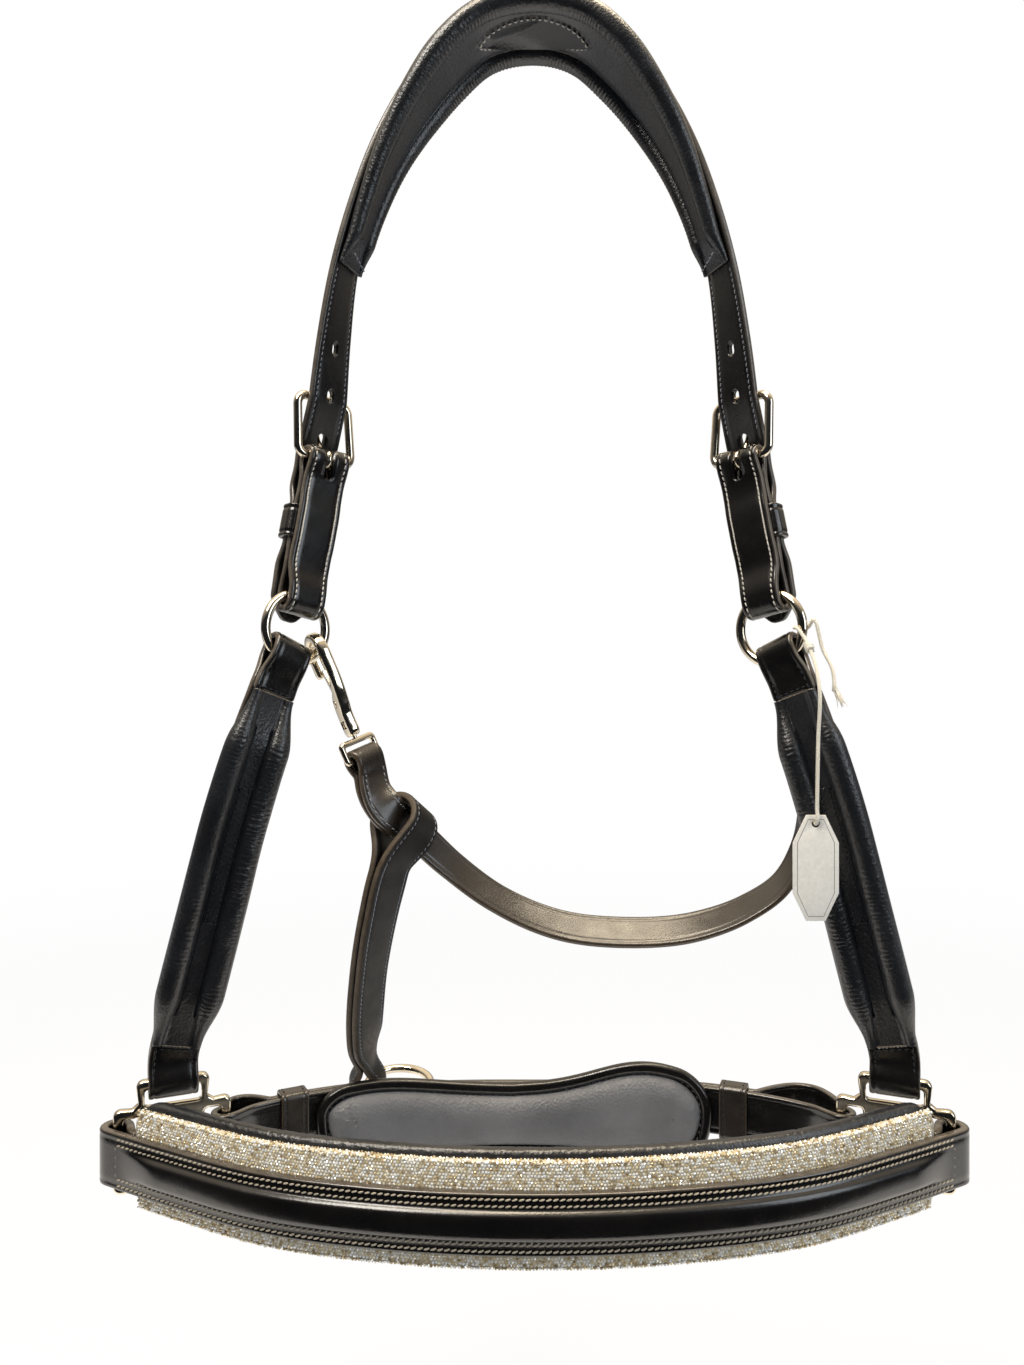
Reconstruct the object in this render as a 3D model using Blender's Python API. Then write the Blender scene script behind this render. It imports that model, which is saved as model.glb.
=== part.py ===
# Leather show halter: padded crown, padded cheeks, crystal noseband, chin strap and throatlash.
# The origin is the underside of the crown where it rests on the poll. +Z is up and the nose is at -Y.
# Left is -X and right is +X, as seen from the front.
import math

import bmesh
import bpy
import numpy as np
from mathutils import Matrix, Vector

NAME = "show_halter"
GAP = 0.0003

# Leather
STRAP_WIDTH = 0.019
RING_END_WIDTH = 0.017
PLY = 0.0028
EASED_EDGE = 0.0006

# Crown line, half of it: x, y, z and the strap's turn away from the front-to-back direction
CROWN_HALF = [
    (0.0000, 0.0000, 0.00442, 0),
    (0.0225, 0.0000, -0.0010, 3),
    (0.0375, 0.0000, -0.0140, 6),
    (0.0495, 0.0005, -0.0300, 7),
    (0.0605, 0.0012, -0.0500, 9),
    (0.0690, 0.0022, -0.0720, 12),
    (0.0760, 0.0040, -0.0970, 19),
    (0.0808, 0.0060, -0.1250, 30),
    (0.0838, 0.0075, -0.1500, 40),
]
RING_CENTRE = (0.0965, 0.0, -0.2450)
RING_TURN = 45
CROWN_LEAN = 0.14
BAR_ABOVE_RING = 0.072

# Crown padding
PAD_LENGTH = 0.272
PAD_WIDTH_TOP = 0.042
PAD_WIDTH_END = 0.0175
PAD_LINING = 0.0040
CROWN_ROLL = 0.0047

# Buckles
BUCKLE_WIRE = 0.0018
BUCKLE_LENGTH = 0.025
BUCKLE_HALF_WIDTH = 0.0131
BUCKLE_CORNER = 0.0034
TONGUE_WIRE = 0.0012
BAR_CLEARANCE = 0.0004
HOLE_PITCH = 0.0195
HOLE_LENGTH = 0.0054
HOLE_WIDTH = 0.0036
USED_HOLE_LENGTH = 0.0098
USED_HOLE_WIDTH = 0.0042
USED_HOLE_ABOVE_BAR = 0.0066
SLOT_WIDTH = 0.0044

# Billet tail and keepers
KEEPER_BELOW_BAR = 0.029
KEEPER_HEIGHT = 0.014
KEEPER_PLY = 0.0017
KEEPER_CLEARANCE = 0.0005
KEEPER_INNER_PLY = 0.0010
TAIL_BELOW_BAR = 0.069
BILLET_BOW = 0.0027

# Rings
RING_WIRE = 0.0019
RING_RADIUS = 0.0141
RING_CLEARANCE = 0.0010

# Cheek line: x, y, z and turn, from the ring's centre down to the fitting's top bar
CHEEK_LEAN = 0.31
CHEEK_POINTS = [
    (0.1105, -0.0088, -0.2880, 54),
    (0.1195, -0.0092, -0.3180, 60),
    (0.1285, -0.0085, -0.3540, 65),
    (0.1365, -0.0070, -0.3850, 68),
    (0.1425, -0.0062, -0.4080, 68),
]
CHEEK_ROLL = 0.0064
CHEEK_PAD_WIDTH = 0.0265
CHEEK_PAD_NARROW = 0.0190
TURN_BACK = 0.0150

# Three-slot fitting at each noseband corner
FITTING_CENTRE = (0.1445, -0.0060, -0.4515)
FITTING_TURN = 68
FITTING_THICK = 0.0040
FITTING_BAR = 0.0040
FITTING_SLOT = 0.0065
FITTING_EYE = 0.0250
FITTING_REACH = 0.0205
FITTING_TOP_EYE = 0.0215
FITTING_PLAY = 0.0011

# Noseband, half of its line: x and y at the panel's middle
NOSE_HALF = [(0.0, -0.0658), (0.050, -0.0622), (0.098, -0.0512), (0.138, -0.0325)]
PANEL_HEIGHT = 0.0215
PANEL_PLY = 0.0034
PANEL_SWELL = 0.0026
BASE_HEIGHT = 0.0370
BASE_PLY = 0.0028
LINING_HEIGHT = 0.0410
LINING_PLY = 0.0068
BASE_INSET = 0.0135
BASE_RISE = 0.0015
NOSE_FLARE = 0.0108

# Chin strap, half of its line
CHIN_HALF = [(0.0, 0.0340), (0.040, 0.0330), (0.080, 0.0262), (0.106, 0.0150)]
CHIN_WIDTH = 0.0200
CHIN_END = 0.070
CHIN_BOW = 0.0115
CHIN_KEEPER_AT = 0.0960
CHIN_SHIFT = -0.0080
CHIN_KEEPER_WIDTH = 0.0115
CHIN_KEEPER_PLY = 0.0015
CHIN_KEEPER_TRAVEL = 0.0035
CHIN_PAD_TOP = 0.0100
CHIN_LOBE_RIGHT = 0.0100
CHIN_LOBE_LEFT = 0.0035
CHIN_PAD_BOTTOM = 0.0215
CHIN_LOBE_BOTTOM = 0.0025
CHIN_PAD_HALF = 0.0872
CHIN_PAD_RIM = 0.0060
CHIN_BACKING_PLY = 0.0030
CHIN_PAD_PLY = 0.0060

# Chin ring and its hanger
CHIN_RING_AT = -0.0575
CHIN_RING_RADIUS = 0.0142
CHIN_RING_RISE = 6
HANGER_LENGTH = 0.0100
HANGER_PLY = 0.0015
HANGER_CLEARANCE = 0.0015

# Throatlash, and the throat strap that hangs on it and holds the chin ring
LASH_WIDTH = 0.0150
LASH_PLY = 0.0026
LASH_DOUBLED = 0.0330
LASH_SEWN = 0.0260
THROAT_WIDTH = 0.0190
THROAT_FOOT_WIDTH = 0.0150
THROAT_PLY = 0.0030
THROAT_LOOP = 0.0084
THROAT_TAPER = 0.0200
THROAT_FOOT = 0.0056
THROAT_AXIS = (0.42, 0.74, -0.52)
THROAT_LOOP_AT = (-0.0540, 0.0125, -0.3268)

# Snap hook, measured across (to the right) and down from the middle of the hook's bend
SNAP_AT = (-0.0884, 0.0066, -0.2557)
SNAP_DOWN = (0.398, 0.0, -0.917)
SNAP_FACE = (0.830, 0.490, 0.261)
SNAP_THICK = 0.0048
SNAP_EASE = 0.0009
GATE_SLOT_HALF = 0.0062
SNAP_BEND = 0.0066
SNAP_WIRE = 0.0019
SNAP_NOSE = 0.0090
SNAP_BOSS_END = 0.0362
SNAP_WINDOW = (0.0292, 0.0325)
SWIVEL_STEM = 0.0009
SWIVEL_HEAD = 0.0019
RIVET_AT = (0.0004, 0.0215)
RIVET_RADIUS = 0.0013
GATE_THICK = 0.0018
GATE_TIP = (-0.0027, 0.0062)
GATE_HALF = 0.0011
EYE_TOP = 0.0372
EYE_BAR = 0.0025
EYE_SLOT = 0.0052
EYE_TURN = 25

# Hang tag
TAG_AT = (0.1058, -0.0290, -0.3170)
TAG_WIDTH = 0.0174
TAG_HEIGHT = 0.0400
TAG_THICK = 0.0006
TAG_HOLE = 0.0016
TAG_HOLE_DOWN = 0.0032
STRING_RADIUS = 0.0008
STRING_TURN = 12
STRING_STEP = 0.0036

MATERIALS = {
    "black_leather": ((0.012, 0.011, 0.011), 0.32, 0.0),
    "soft_nappa": ((0.016, 0.017, 0.019), 0.50, 0.0),
    "crystal_fabric": ((0.72, 0.62, 0.46), 0.30, 0.35),
    "grey_pad": ((0.060, 0.062, 0.068), 0.45, 0.0),
    "polished_metal": ((0.80, 0.74, 0.62), 0.14, 1.0),
    "tag_card": ((0.80, 0.76, 0.66), 0.75, 0.0),
    "cotton_string": ((0.78, 0.72, 0.60), 0.85, 0.0),
}


# A smooth centre line through points, with the direction of a strap's width along it.
# A place on it is given by s along the line, n out from the horse and w across the strap.
class Line:
    def __init__(self, points, widths, zero=0):
        points = np.array(points, float)
        widths = np.array(widths, float)
        knot = np.concatenate([[0.0], np.cumsum(np.linalg.norm(np.diff(points, axis=0), axis=1))])
        dense = np.concatenate([np.linspace(a, b, 20, endpoint=False) for a, b in zip(knot, knot[1:])])
        dense = np.append(dense, knot[-1])
        self.place = self.smooth(points, knot, dense)
        self.width = self.smooth(widths, knot, dense)
        step = np.linalg.norm(np.diff(self.place, axis=0), axis=1)
        run = np.concatenate([[0.0], np.cumsum(step)])
        self.s = run - np.interp(knot[zero], dense, run)
        self.along = np.gradient(self.place, self.s, axis=0)

    @staticmethod
    def smooth(values, knot, dense):
        slope = np.gradient(values, knot, axis=0)
        i = np.clip(np.searchsorted(knot, dense, side="right") - 1, 0, len(knot) - 2)
        h = (knot[i + 1] - knot[i])[:, None]
        t = ((dense - knot[i]) / (knot[i + 1] - knot[i]))[:, None]
        start = (2 * t**3 - 3 * t**2 + 1) * values[i] + (t**3 - 2 * t**2 + t) * h * slope[i]
        end = (-2 * t**3 + 3 * t**2) * values[i + 1] + (t**3 - t**2) * h * slope[i + 1]
        return start + end

    def read(self, table, s):
        return np.stack([np.interp(s, self.s, table[:, k]) for k in range(3)], axis=-1)

    def frame(self, s):
        s = np.asarray(s, float)
        inside = np.clip(s, self.s[0], self.s[-1])
        along = self.read(self.along, inside)
        along /= np.linalg.norm(along, axis=-1, keepdims=True)
        place = self.read(self.place, inside) + (s - inside)[..., None] * along
        across = self.read(self.width, inside)
        across -= (across * along).sum(-1, keepdims=True) * along
        across /= np.linalg.norm(across, axis=-1, keepdims=True)
        return place, along, across, np.cross(along, across)

    def at(self, s, n=0.0, w=0.0):
        s, n, w = np.broadcast_arrays(np.asarray(s, float), n, w)
        place, along, across, out = self.frame(s)
        return place + n[..., None] * out + w[..., None] * across

    def matrix(self, s, n=0.0, w=0.0):
        place, along, across, out = self.frame(s)
        spot = self.at(s, n, w)
        columns = Matrix([list(across), list(out), list(along)]).transposed().to_4x4()
        return Matrix.Translation(Vector(spot)) @ columns


def turned(degrees, side=1):
    angle = math.radians(degrees)
    return (-side * math.sin(angle), math.cos(angle), 0.0)


def mirrored_line(half, turn_of):
    left = [(-p[0],) + tuple(p[1:]) for p in reversed(half[1:])]
    points = left + list(half)
    widths = [turn_of(p, -1) for p in left] + [turn_of(p, 1) for p in half]
    return points, widths


def down_from_ring(lean, turn, side=1):
    angle = math.radians(turn)
    way = np.array([lean, -lean * math.cos(angle) / math.sin(angle), -1.0])
    return way / np.linalg.norm(way)


# Scene, collections and materials

def clear_scene():
    for item in list(bpy.data.objects):
        bpy.data.objects.remove(item, do_unlink=True)


def make_collection(name):
    collection = bpy.data.collections.new(name)
    bpy.context.scene.collection.children.link(collection)
    return collection


def make_material(name):
    colour, roughness, metallic = MATERIALS[name]
    material = bpy.data.materials.new(name)
    material.use_nodes = True
    shader = material.node_tree.nodes["Principled BSDF"]
    shader.inputs["Base Color"].default_value = (*colour, 1.0)
    shader.inputs["Roughness"].default_value = roughness
    shader.inputs["Metallic"].default_value = metallic
    material.diffuse_color = (*colour, 1.0)
    return material


clear_scene()
parts = make_collection(NAME)
cutters = make_collection("cutters")
materials = {name: make_material(name) for name in MATERIALS}


def finish(name, mesh, material, origin=(0.0, 0.0, 0.0)):
    # A mesh in world space becomes a named object whose origin is on its joint.
    mesh.transform(Matrix.Translation(-Vector(origin)))
    mesh.materials.clear()
    mesh.materials.append(materials[material])
    mesh.shade_smooth()
    mesh.set_sharp_from_angle(angle=math.radians(40))
    item = bpy.data.objects.new(name, mesh)
    item.location = origin
    parts.objects.link(item)
    return item


def mesh_from(bm, name):
    bmesh.ops.recalc_face_normals(bm, faces=bm.faces)
    mesh = bpy.data.meshes.new(name)
    bm.to_mesh(mesh)
    bm.free()
    return mesh


def loft(name, rows, closed, material, origin=(0.0, 0.0, 0.0)):
    # Rows of section points joined by faces, with both ends capped unless the rows run in a loop.
    bm = bmesh.new()
    grid = [[bm.verts.new(point) for point in row] for row in rows]
    count = len(grid[0])
    pairs = list(zip(grid, grid[1:])) + ([(grid[-1], grid[0])] if closed else [])
    for one, two in pairs:
        for k in range(count):
            bm.faces.new((one[k], one[(k + 1) % count], two[(k + 1) % count], two[k]))
    if not closed:
        bm.faces.new(grid[0])
        bm.faces.new(list(reversed(grid[-1])))
    return finish(name, mesh_from(bm, name), material, origin)


def curve_mesh(name, curve, matrix):
    # A curve's solid as a mesh in world space, with its caps welded on.
    item = bpy.data.objects.new(name, curve)
    item.matrix_world = matrix
    bpy.context.scene.collection.objects.link(item)
    bpy.context.view_layer.update()
    graph = bpy.context.evaluated_depsgraph_get()
    mesh = bpy.data.meshes.new_from_object(item.evaluated_get(graph))
    mesh.transform(item.matrix_world)
    bpy.data.objects.remove(item, do_unlink=True)
    bm = bmesh.new()
    bm.from_mesh(mesh)
    bmesh.ops.remove_doubles(bm, verts=bm.verts, dist=0.000005)
    bpy.data.meshes.remove(mesh)
    return mesh_from(bm, name)


def tube(name, points, radius, material, origin=(0.0, 0.0, 0.0), cyclic=False, resolution=1):
    curve = bpy.data.curves.new(name, "CURVE")
    curve.dimensions = "3D"
    curve.bevel_depth = radius
    curve.bevel_resolution = resolution
    curve.use_fill_caps = not cyclic
    spline = curve.splines.new("POLY")
    spline.points.add(len(points) - 1)
    for spot, point in zip(spline.points, points):
        spot.co = (*[float(x) for x in point], 1.0)
    spline.use_cyclic_u = cyclic
    return finish(name, curve_mesh(name, curve, Matrix.Identity(4)), material, origin)


def plate(name, outlines, thick, matrix, material, origin=(0.0, 0.0, 0.0), ease=0.0):
    # Closed outlines in a plane, filled and given a thickness; inner outlines are holes.
    curve = bpy.data.curves.new(name, "CURVE")
    curve.dimensions = "2D"
    curve.fill_mode = "BOTH"
    curve.extrude = thick / 2 - ease
    curve.bevel_depth = ease
    curve.bevel_resolution = 0
    curve.offset = -ease
    for outline in outlines:
        spline = curve.splines.new("POLY")
        spline.points.add(len(outline) - 1)
        for spot, (x, y) in zip(spline.points, outline):
            spot.co = (x, y, 0.0, 1.0)
        spline.use_cyclic_u = True
    return finish(name, curve_mesh(name, curve, matrix), material, origin)


def rounded_box(half_x, half_y, radius, steps=3, centre=(0.0, 0.0)):
    outline = []
    for corner, (sx, sy) in enumerate([(1, 1), (-1, 1), (-1, -1), (1, -1)]):
        for k in range(steps + 1):
            angle = math.radians(90 * corner + 90 * k / steps)
            x = sx * (half_x - radius) + radius * math.cos(angle)
            y = sy * (half_y - radius) + radius * math.sin(angle)
            outline.append((centre[0] + x, centre[1] + y))
    return outline


def ring(name, centre, axis, radius, wire, material, origin):
    turn = Vector(axis).to_track_quat("Z", "Y").to_matrix().to_4x4()
    bpy.ops.mesh.primitive_torus_add(
        major_segments=32, minor_segments=8, major_radius=radius, minor_radius=wire
    )
    item = bpy.context.object
    mesh = item.data
    bpy.data.objects.remove(item, do_unlink=True)
    mesh.name = name
    mesh.transform(Matrix.Translation(Vector(centre)) @ turn)
    return finish(name, mesh, material, origin)


def cut(item, tools):
    # Takes the tools away from the item; the tools stay as hidden guides.
    for tool in tools:
        modifier = item.modifiers.new("cut_" + tool.name, "BOOLEAN")
        modifier.operation = "DIFFERENCE"
        modifier.solver = "EXACT"
        modifier.object = tool


def cutter(name, outline, depth, matrix):
    curve = bpy.data.curves.new(name, "CURVE")
    curve.dimensions = "2D"
    curve.fill_mode = "BOTH"
    curve.extrude = depth / 2
    spline = curve.splines.new("POLY")
    spline.points.add(len(outline) - 1)
    for spot, (x, y) in zip(spline.points, outline):
        spot.co = (x, y, 0.0, 1.0)
    spline.use_cyclic_u = True
    item = bpy.data.objects.new(name, curve_mesh(name, curve, matrix))
    item.hide_render = True
    item.display_type = "WIRE"
    cutters.objects.link(item)
    return item


def other_side(item, name):
    # The same piece mirrored across the middle plane, as an object of its own.
    bpy.context.view_layer.update()
    graph = bpy.context.evaluated_depsgraph_get()
    mesh = bpy.data.meshes.new_from_object(item.evaluated_get(graph))
    mesh.name = name
    mesh.transform(Matrix.Diagonal((-1.0, 1.0, 1.0, 1.0)))
    mesh.flip_normals()
    twin = bpy.data.objects.new(name, mesh)
    twin.location = (-item.location.x, item.location.y, item.location.z)
    parts.objects.link(twin)
    return twin


# Straps

def smooth_step(t):
    return t * t * (3 - 2 * t)


def turned_end(at, way, radius, reach, ply_in, ply_out, flare, steps=8):
    # The path of a ply that runs along n = ply_in, turns round a bar at (s, n) and returns along ply_out.
    side = math.copysign(1.0, ply_in - ply_out)
    route = []
    for k in range(4):
        t = k / 3
        route.append((at[0] - way * flare * (1 - t), ply_in + (at[1] + side * radius - ply_in) * smooth_step(t)))
    for k in range(steps + 1):
        angle = math.pi * (0.5 - k / steps)
        route.append((at[0] + way * (reach + radius * math.cos(angle)), at[1] + side * radius * math.sin(angle)))
    for k in range(4):
        t = 1 - k / 3
        route.append((at[0] - way * flare * (1 - t), ply_out + (at[1] - side * radius - ply_out) * smooth_step(t)))
    clean = [route[0]]
    for point in route[1:]:
        if math.dist(point, clean[-1]) > 0.0002:
            clean.append(point)
    return clean


def strap_rows(line, route, width, thick, closed=False, ease=0.0, swell=0.0):
    # Section points along a route given in (s, n), as wide and thick as asked at each point.
    route = np.array(route, float)
    ahead = np.roll(route, -1, axis=0) - route
    if not closed:
        ahead[-1] = ahead[-2]
    ahead /= np.linalg.norm(ahead, axis=1, keepdims=True)
    behind = np.roll(ahead, 1, axis=0)
    if not closed:
        behind[0] = ahead[0]
    way = ahead + behind
    way /= np.linalg.norm(way, axis=1, keepdims=True)
    mitre = np.clip((way * ahead).sum(1), 0.6, 1.0)
    normal = np.stack([-way[:, 1], way[:, 0]], axis=1) / mitre[:, None]
    half_w = np.broadcast_to(np.asarray(width, float) / 2, len(route))
    half_t = np.broadcast_to(np.asarray(thick, float) / 2, len(route))
    swell = np.broadcast_to(np.asarray(swell, float), len(route))
    rows = []
    for i in range(len(route)):
        w, t = half_w[i], half_t[i]
        if ease:
            corners = [
                (-t, -w + ease), (-t, w - ease), (-t + ease, w), (t - ease, w),
                (t, w - ease), (t + swell[i], 0.0), (t, -w + ease), (t - ease, -w), (-t + ease, -w),
            ]
        else:
            corners = [(-t, -w), (-t, w), (t, w), (t, -w)]
        s = [route[i, 0] + a * normal[i, 0] for a, _ in corners]
        n = [route[i, 1] + a * normal[i, 1] for a, _ in corners]
        rows.append(line.at(s, n, [b for _, b in corners]))
    return rows


def strap(name, line, route, width, thick, material, closed=False, ease=0.0, swell=0.0, origin=(0, 0, 0)):
    rows = strap_rows(line, route, width, thick, closed, ease, swell)
    return loft(name, rows, closed, material, origin)


def span(start, stop, step):
    count = max(1, int(math.ceil(abs(stop - start) / step)))
    return [start + (stop - start) * k / count for k in range(count + 1)]


# The crown line runs from the left ring's centre over the poll to the right ring's centre.
crown_way = down_from_ring(CROWN_LEAN, RING_TURN)
bar_point = np.array(RING_CENTRE) - crown_way * BAR_ABOVE_RING
mid_point = np.array(RING_CENTRE) - crown_way * BAR_ABOVE_RING * 0.45
crown_half = list(CROWN_HALF)
for point in (bar_point, mid_point, np.array(RING_CENTRE)):
    crown_half.append((*point, RING_TURN))
crown_points, crown_widths = mirrored_line(crown_half, lambda p, side: turned(p[3], side))
crown = Line([p[:3] for p in crown_points], crown_widths, zero=len(crown_half) - 1)
S_RING = crown.s[-1]
S_BAR = S_RING - BAR_ABOVE_RING
S_TOP_WIRE = S_RING - RING_RADIUS

# The cheek line runs from the right ring's centre to the middle of the fitting's top bar.
fitting_top_bar = FITTING_EYE / 2 + FITTING_BAR + FITTING_SLOT + FITTING_BAR / 2
top_bar_point = np.array(FITTING_CENTRE) + np.array([0.0, 0.0, fitting_top_bar])
cheek_way = down_from_ring(CHEEK_LEAN, RING_TURN)
cheek_points = [(*(np.array(RING_CENTRE) + cheek_way * reach), RING_TURN) for reach in (0.0, 0.014, 0.028)]
cheek_points += CHEEK_POINTS
cheek_points.append((*(top_bar_point + np.array([0.0, 0.0, 0.009])), FITTING_TURN))
cheek_points.append((*top_bar_point, FITTING_TURN))
cheek = Line([p[:3] for p in cheek_points], [turned(p[3]) for p in cheek_points])
S_FITTING = cheek.s[-1]

# Crown strap and padding

PLY_OFF = PLY / 2 + GAP / 2
BUCKLE_PLY_OFF = PLY / 2 + KEEPER_INNER_PLY / 2 + GAP
fold_radius_bar = BUCKLE_WIRE + BAR_CLEARANCE + PLY / 2
billet_at_bar = fold_radius_bar + PLY + GAP + 0.0003
tail_off = BUCKLE_PLY_OFF + PLY + GAP
ring_fold_radius = RING_WIRE + RING_CLEARANCE * 0.8 + PLY / 2
billet_at_ring = ring_fold_radius + PLY + GAP + 0.0002
billet_at_far = PLY / 2 + 0.0002
keeper_at = S_BAR + KEEPER_BELOW_BAR


def billet_off(s):
    # How far out the crown strap's middle lies at s, from the poll to the billet's tip.
    table = [
        (0.0, billet_at_far), (S_BAR - BUCKLE_LENGTH, billet_at_far), (S_BAR - 0.002, billet_at_bar),
        (S_BAR + 0.003, billet_at_bar), (S_BAR + 0.012, tail_off + BILLET_BOW), (keeper_at - 0.008, tail_off),
        (keeper_at + 0.008, tail_off), (keeper_at + 0.018, tail_off + BILLET_BOW), (S_TOP_WIRE, billet_at_ring),
        (S_RING + 0.002, billet_at_ring),
    ]
    stops = [stop for stop, _ in table]
    outs = [off for _, off in table]
    k = int(np.clip(np.searchsorted(stops, s, side="right") - 1, 0, len(stops) - 2))
    t = (s - stops[k]) / (stops[k + 1] - stops[k])
    if k == 1:
        return outs[k] + (outs[k + 1] - outs[k]) * t ** 1.15
    return outs[k] + (outs[k + 1] - outs[k]) * smooth_step(min(max(t, 0.0), 1.0))


def make_crown_strap():
    far = S_BAR - BUCKLE_LENGTH
    tip = S_BAR + TAIL_BELOW_BAR
    half = [0.0] + span(0.006, 0.048, 0.0070) + span(0.056, far - 0.004, 0.0115) + span(far, S_BAR - 0.004, 0.0035)
    half += span(S_BAR - 0.002, S_BAR + 0.016, 0.003) + span(S_BAR + 0.0195, S_TOP_WIRE - 0.012, 0.0045)
    half += span(S_TOP_WIRE - 0.009, tip - 0.008, 0.004) + [tip - 0.004, tip - 0.0015, tip]
    stations = [-s for s in reversed(half[1:])] + half
    route = [(s, billet_off(abs(s))) for s in stations]
    width = []
    for s in stations:
        end = max(0.0, abs(s) - (tip - 0.010)) / 0.010
        width.append(STRAP_WIDTH * (1.0 - 0.72 * end**1.6))
    item = strap("crown_strap", crown, route, width, PLY, "black_leather", ease=EASED_EDGE)
    tools = []
    for side in (-1, 1):
        used = S_BAR - USED_HOLE_ABOVE_BAR
        spots = [used - HOLE_PITCH, used - 2 * HOLE_PITCH, used + HOLE_PITCH, used + 2 * HOLE_PITCH]
        for k, s in enumerate(spots):
            hole = rounded_box(HOLE_WIDTH / 2, HOLE_LENGTH / 2, HOLE_WIDTH / 2 - 0.0001, 2)
            tools.append(hole_cutter(f"hole_{side}_{k}", side, s, hole))
        hole = rounded_box(USED_HOLE_WIDTH / 2, USED_HOLE_LENGTH / 2, USED_HOLE_WIDTH / 2 - 0.0001, 3)
        tools.append(hole_cutter(f"used_hole_{side}", side, used, hole))
    cut(item, tools)
    return item


def hole_cutter(name, side, s, outline):
    slope = (billet_off(s + 0.001) - billet_off(s - 0.001)) / 0.002
    matrix = crown.matrix(side * s, billet_off(s))
    lean = Matrix.Rotation(-side * math.atan(slope), 4, "X")
    lay = Matrix.Rotation(math.radians(90), 4, "X")
    return cutter(name, outline, 3 * PLY, matrix @ lean @ lay)


def make_crown_padding():
    # A flat lining with a soft roll along each edge, drawn in to the strap's width at both ends.
    half = PAD_LENGTH / 2
    stations = span(-half, -0.004, 0.0095) + span(0.004, half, 0.0095)
    rows = []
    for s in stations:
        t = abs(s) / half
        narrow = smooth_step(min(1.0, max(0.0, (t - 0.22) / 0.78)))
        width = PAD_WIDTH_TOP + (PAD_WIDTH_END - PAD_WIDTH_TOP) * narrow
        end = smooth_step(min(1.0, max(0.0, (1.0 - t) / 0.10)))
        roll = CROWN_ROLL * (0.62 + 0.38 * (1 - narrow)) * (0.35 + 0.65 * end)
        middle = min(PAD_LINING, roll * 1.2)
        top = -GAP
        centre = width / 2 - roll
        lobe = []
        for k in range(6):
            angle = math.radians(70 - 50 * k)
            lobe.append((top - roll + roll * math.sin(angle), centre + roll * math.cos(angle)))
        section = [(top, centre * 0.55)] + lobe + [(top - middle, centre * 0.42)]
        section = section + [(n, -w) for n, w in reversed(section)]
        rows.append(crown.at(s, [n for n, _ in section], [w for _, w in section]))
    return loft("crown_padding", rows, False, "soft_nappa")


make_crown_strap()
make_crown_padding()


# Buckles, buckle straps, keepers and rings

def make_buckle_strap():
    # One strap folded round the buckle's bar above and the ring below, its two plies sewn flat together.
    ring_reach = RING_RADIUS - (math.sqrt((RING_RADIUS - RING_WIRE) ** 2 - (RING_END_WIDTH / 2) ** 2)
                                - RING_CLEARANCE + ring_fold_radius - PLY / 2)
    lower = turned_end((S_TOP_WIRE, 0.0), 1, ring_fold_radius, ring_reach, BUCKLE_PLY_OFF, -BUCKLE_PLY_OFF, 0.010)
    upper = turned_end((S_BAR, 0.0), -1, fold_radius_bar, 0.0, -BUCKLE_PLY_OFF, BUCKLE_PLY_OFF, 0.010)
    outer = [(s, BUCKLE_PLY_OFF) for s in span(S_BAR + 0.010, S_TOP_WIRE - 0.010, 0.013)[1:-1]]
    inner = [(s, -BUCKLE_PLY_OFF) for s, _ in reversed(outer)]
    route = outer + lower + inner + upper
    width = [STRAP_WIDTH + (RING_END_WIDTH - STRAP_WIDTH) * smooth_step(
        min(1.0, max(0.0, (s - (S_TOP_WIRE - 0.014)) / 0.014))) for s, _ in route]
    item = strap("right_buckle_strap", crown, route, width, PLY, "black_leather", closed=True)
    slot = rounded_box(SLOT_WIDTH / 2, 0.0082, 0.0015, 2)
    lay = Matrix.Rotation(math.radians(90), 4, "X")
    cut(item, [cutter("tongue_slot", slot, 6 * PLY, crown.matrix(S_BAR) @ lay)])
    return item


def make_buckle_frame():
    far_off = billet_at_far + PLY / 2 + GAP + BUCKLE_WIRE
    points = []
    for w, up in rounded_box(BUCKLE_HALF_WIDTH, BUCKLE_LENGTH / 2, BUCKLE_CORNER, 3):
        up += BUCKLE_LENGTH / 2
        points.append(crown.at(S_BAR - up, far_off * up / BUCKLE_LENGTH, w))
    pivot = crown.at(S_BAR)
    return tube("right_buckle_frame", points, BUCKLE_WIRE, "polished_metal", pivot, cyclic=True, resolution=1)


def make_tongue():
    eye = BUCKLE_WIRE + GAP + TONGUE_WIRE
    far_top = billet_at_far + PLY / 2 + GAP + 2 * BUCKLE_WIRE + GAP + TONGUE_WIRE
    path = []
    for k in range(12):
        angle = math.radians(370 - 280 * k / 11)
        path.append((eye * math.cos(angle), eye * math.sin(angle)))
    path += [(0.0030, 0.0035), (0.0053, 0.0047), (0.0085, 0.0071), (0.0115, 0.0083), (0.0150, far_top)]
    path += [(BUCKLE_LENGTH, far_top), (BUCKLE_LENGTH + 0.0035, far_top - 0.0002)]
    points = [crown.at(S_BAR - up, n) for up, n in path]
    return tube("right_buckle_tongue", points, TONGUE_WIRE, "polished_metal", crown.at(S_BAR))


def keeper_outline(low, high, half_width, ply, low_ply):
    # A strap loop seen end on: its opening runs from low to high, its wall on the low side may be thinner.
    middle = (low + high) / 2
    half = (high - low) / 2
    inner = rounded_box(half_width, half, 0.0008, 2, (0.0, middle))
    outer_middle = middle + (ply - low_ply) / 2
    outer = rounded_box(half_width + ply, half + (ply + low_ply) / 2, 0.0022, 3, (0.0, outer_middle))
    return [outer, inner]


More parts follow.
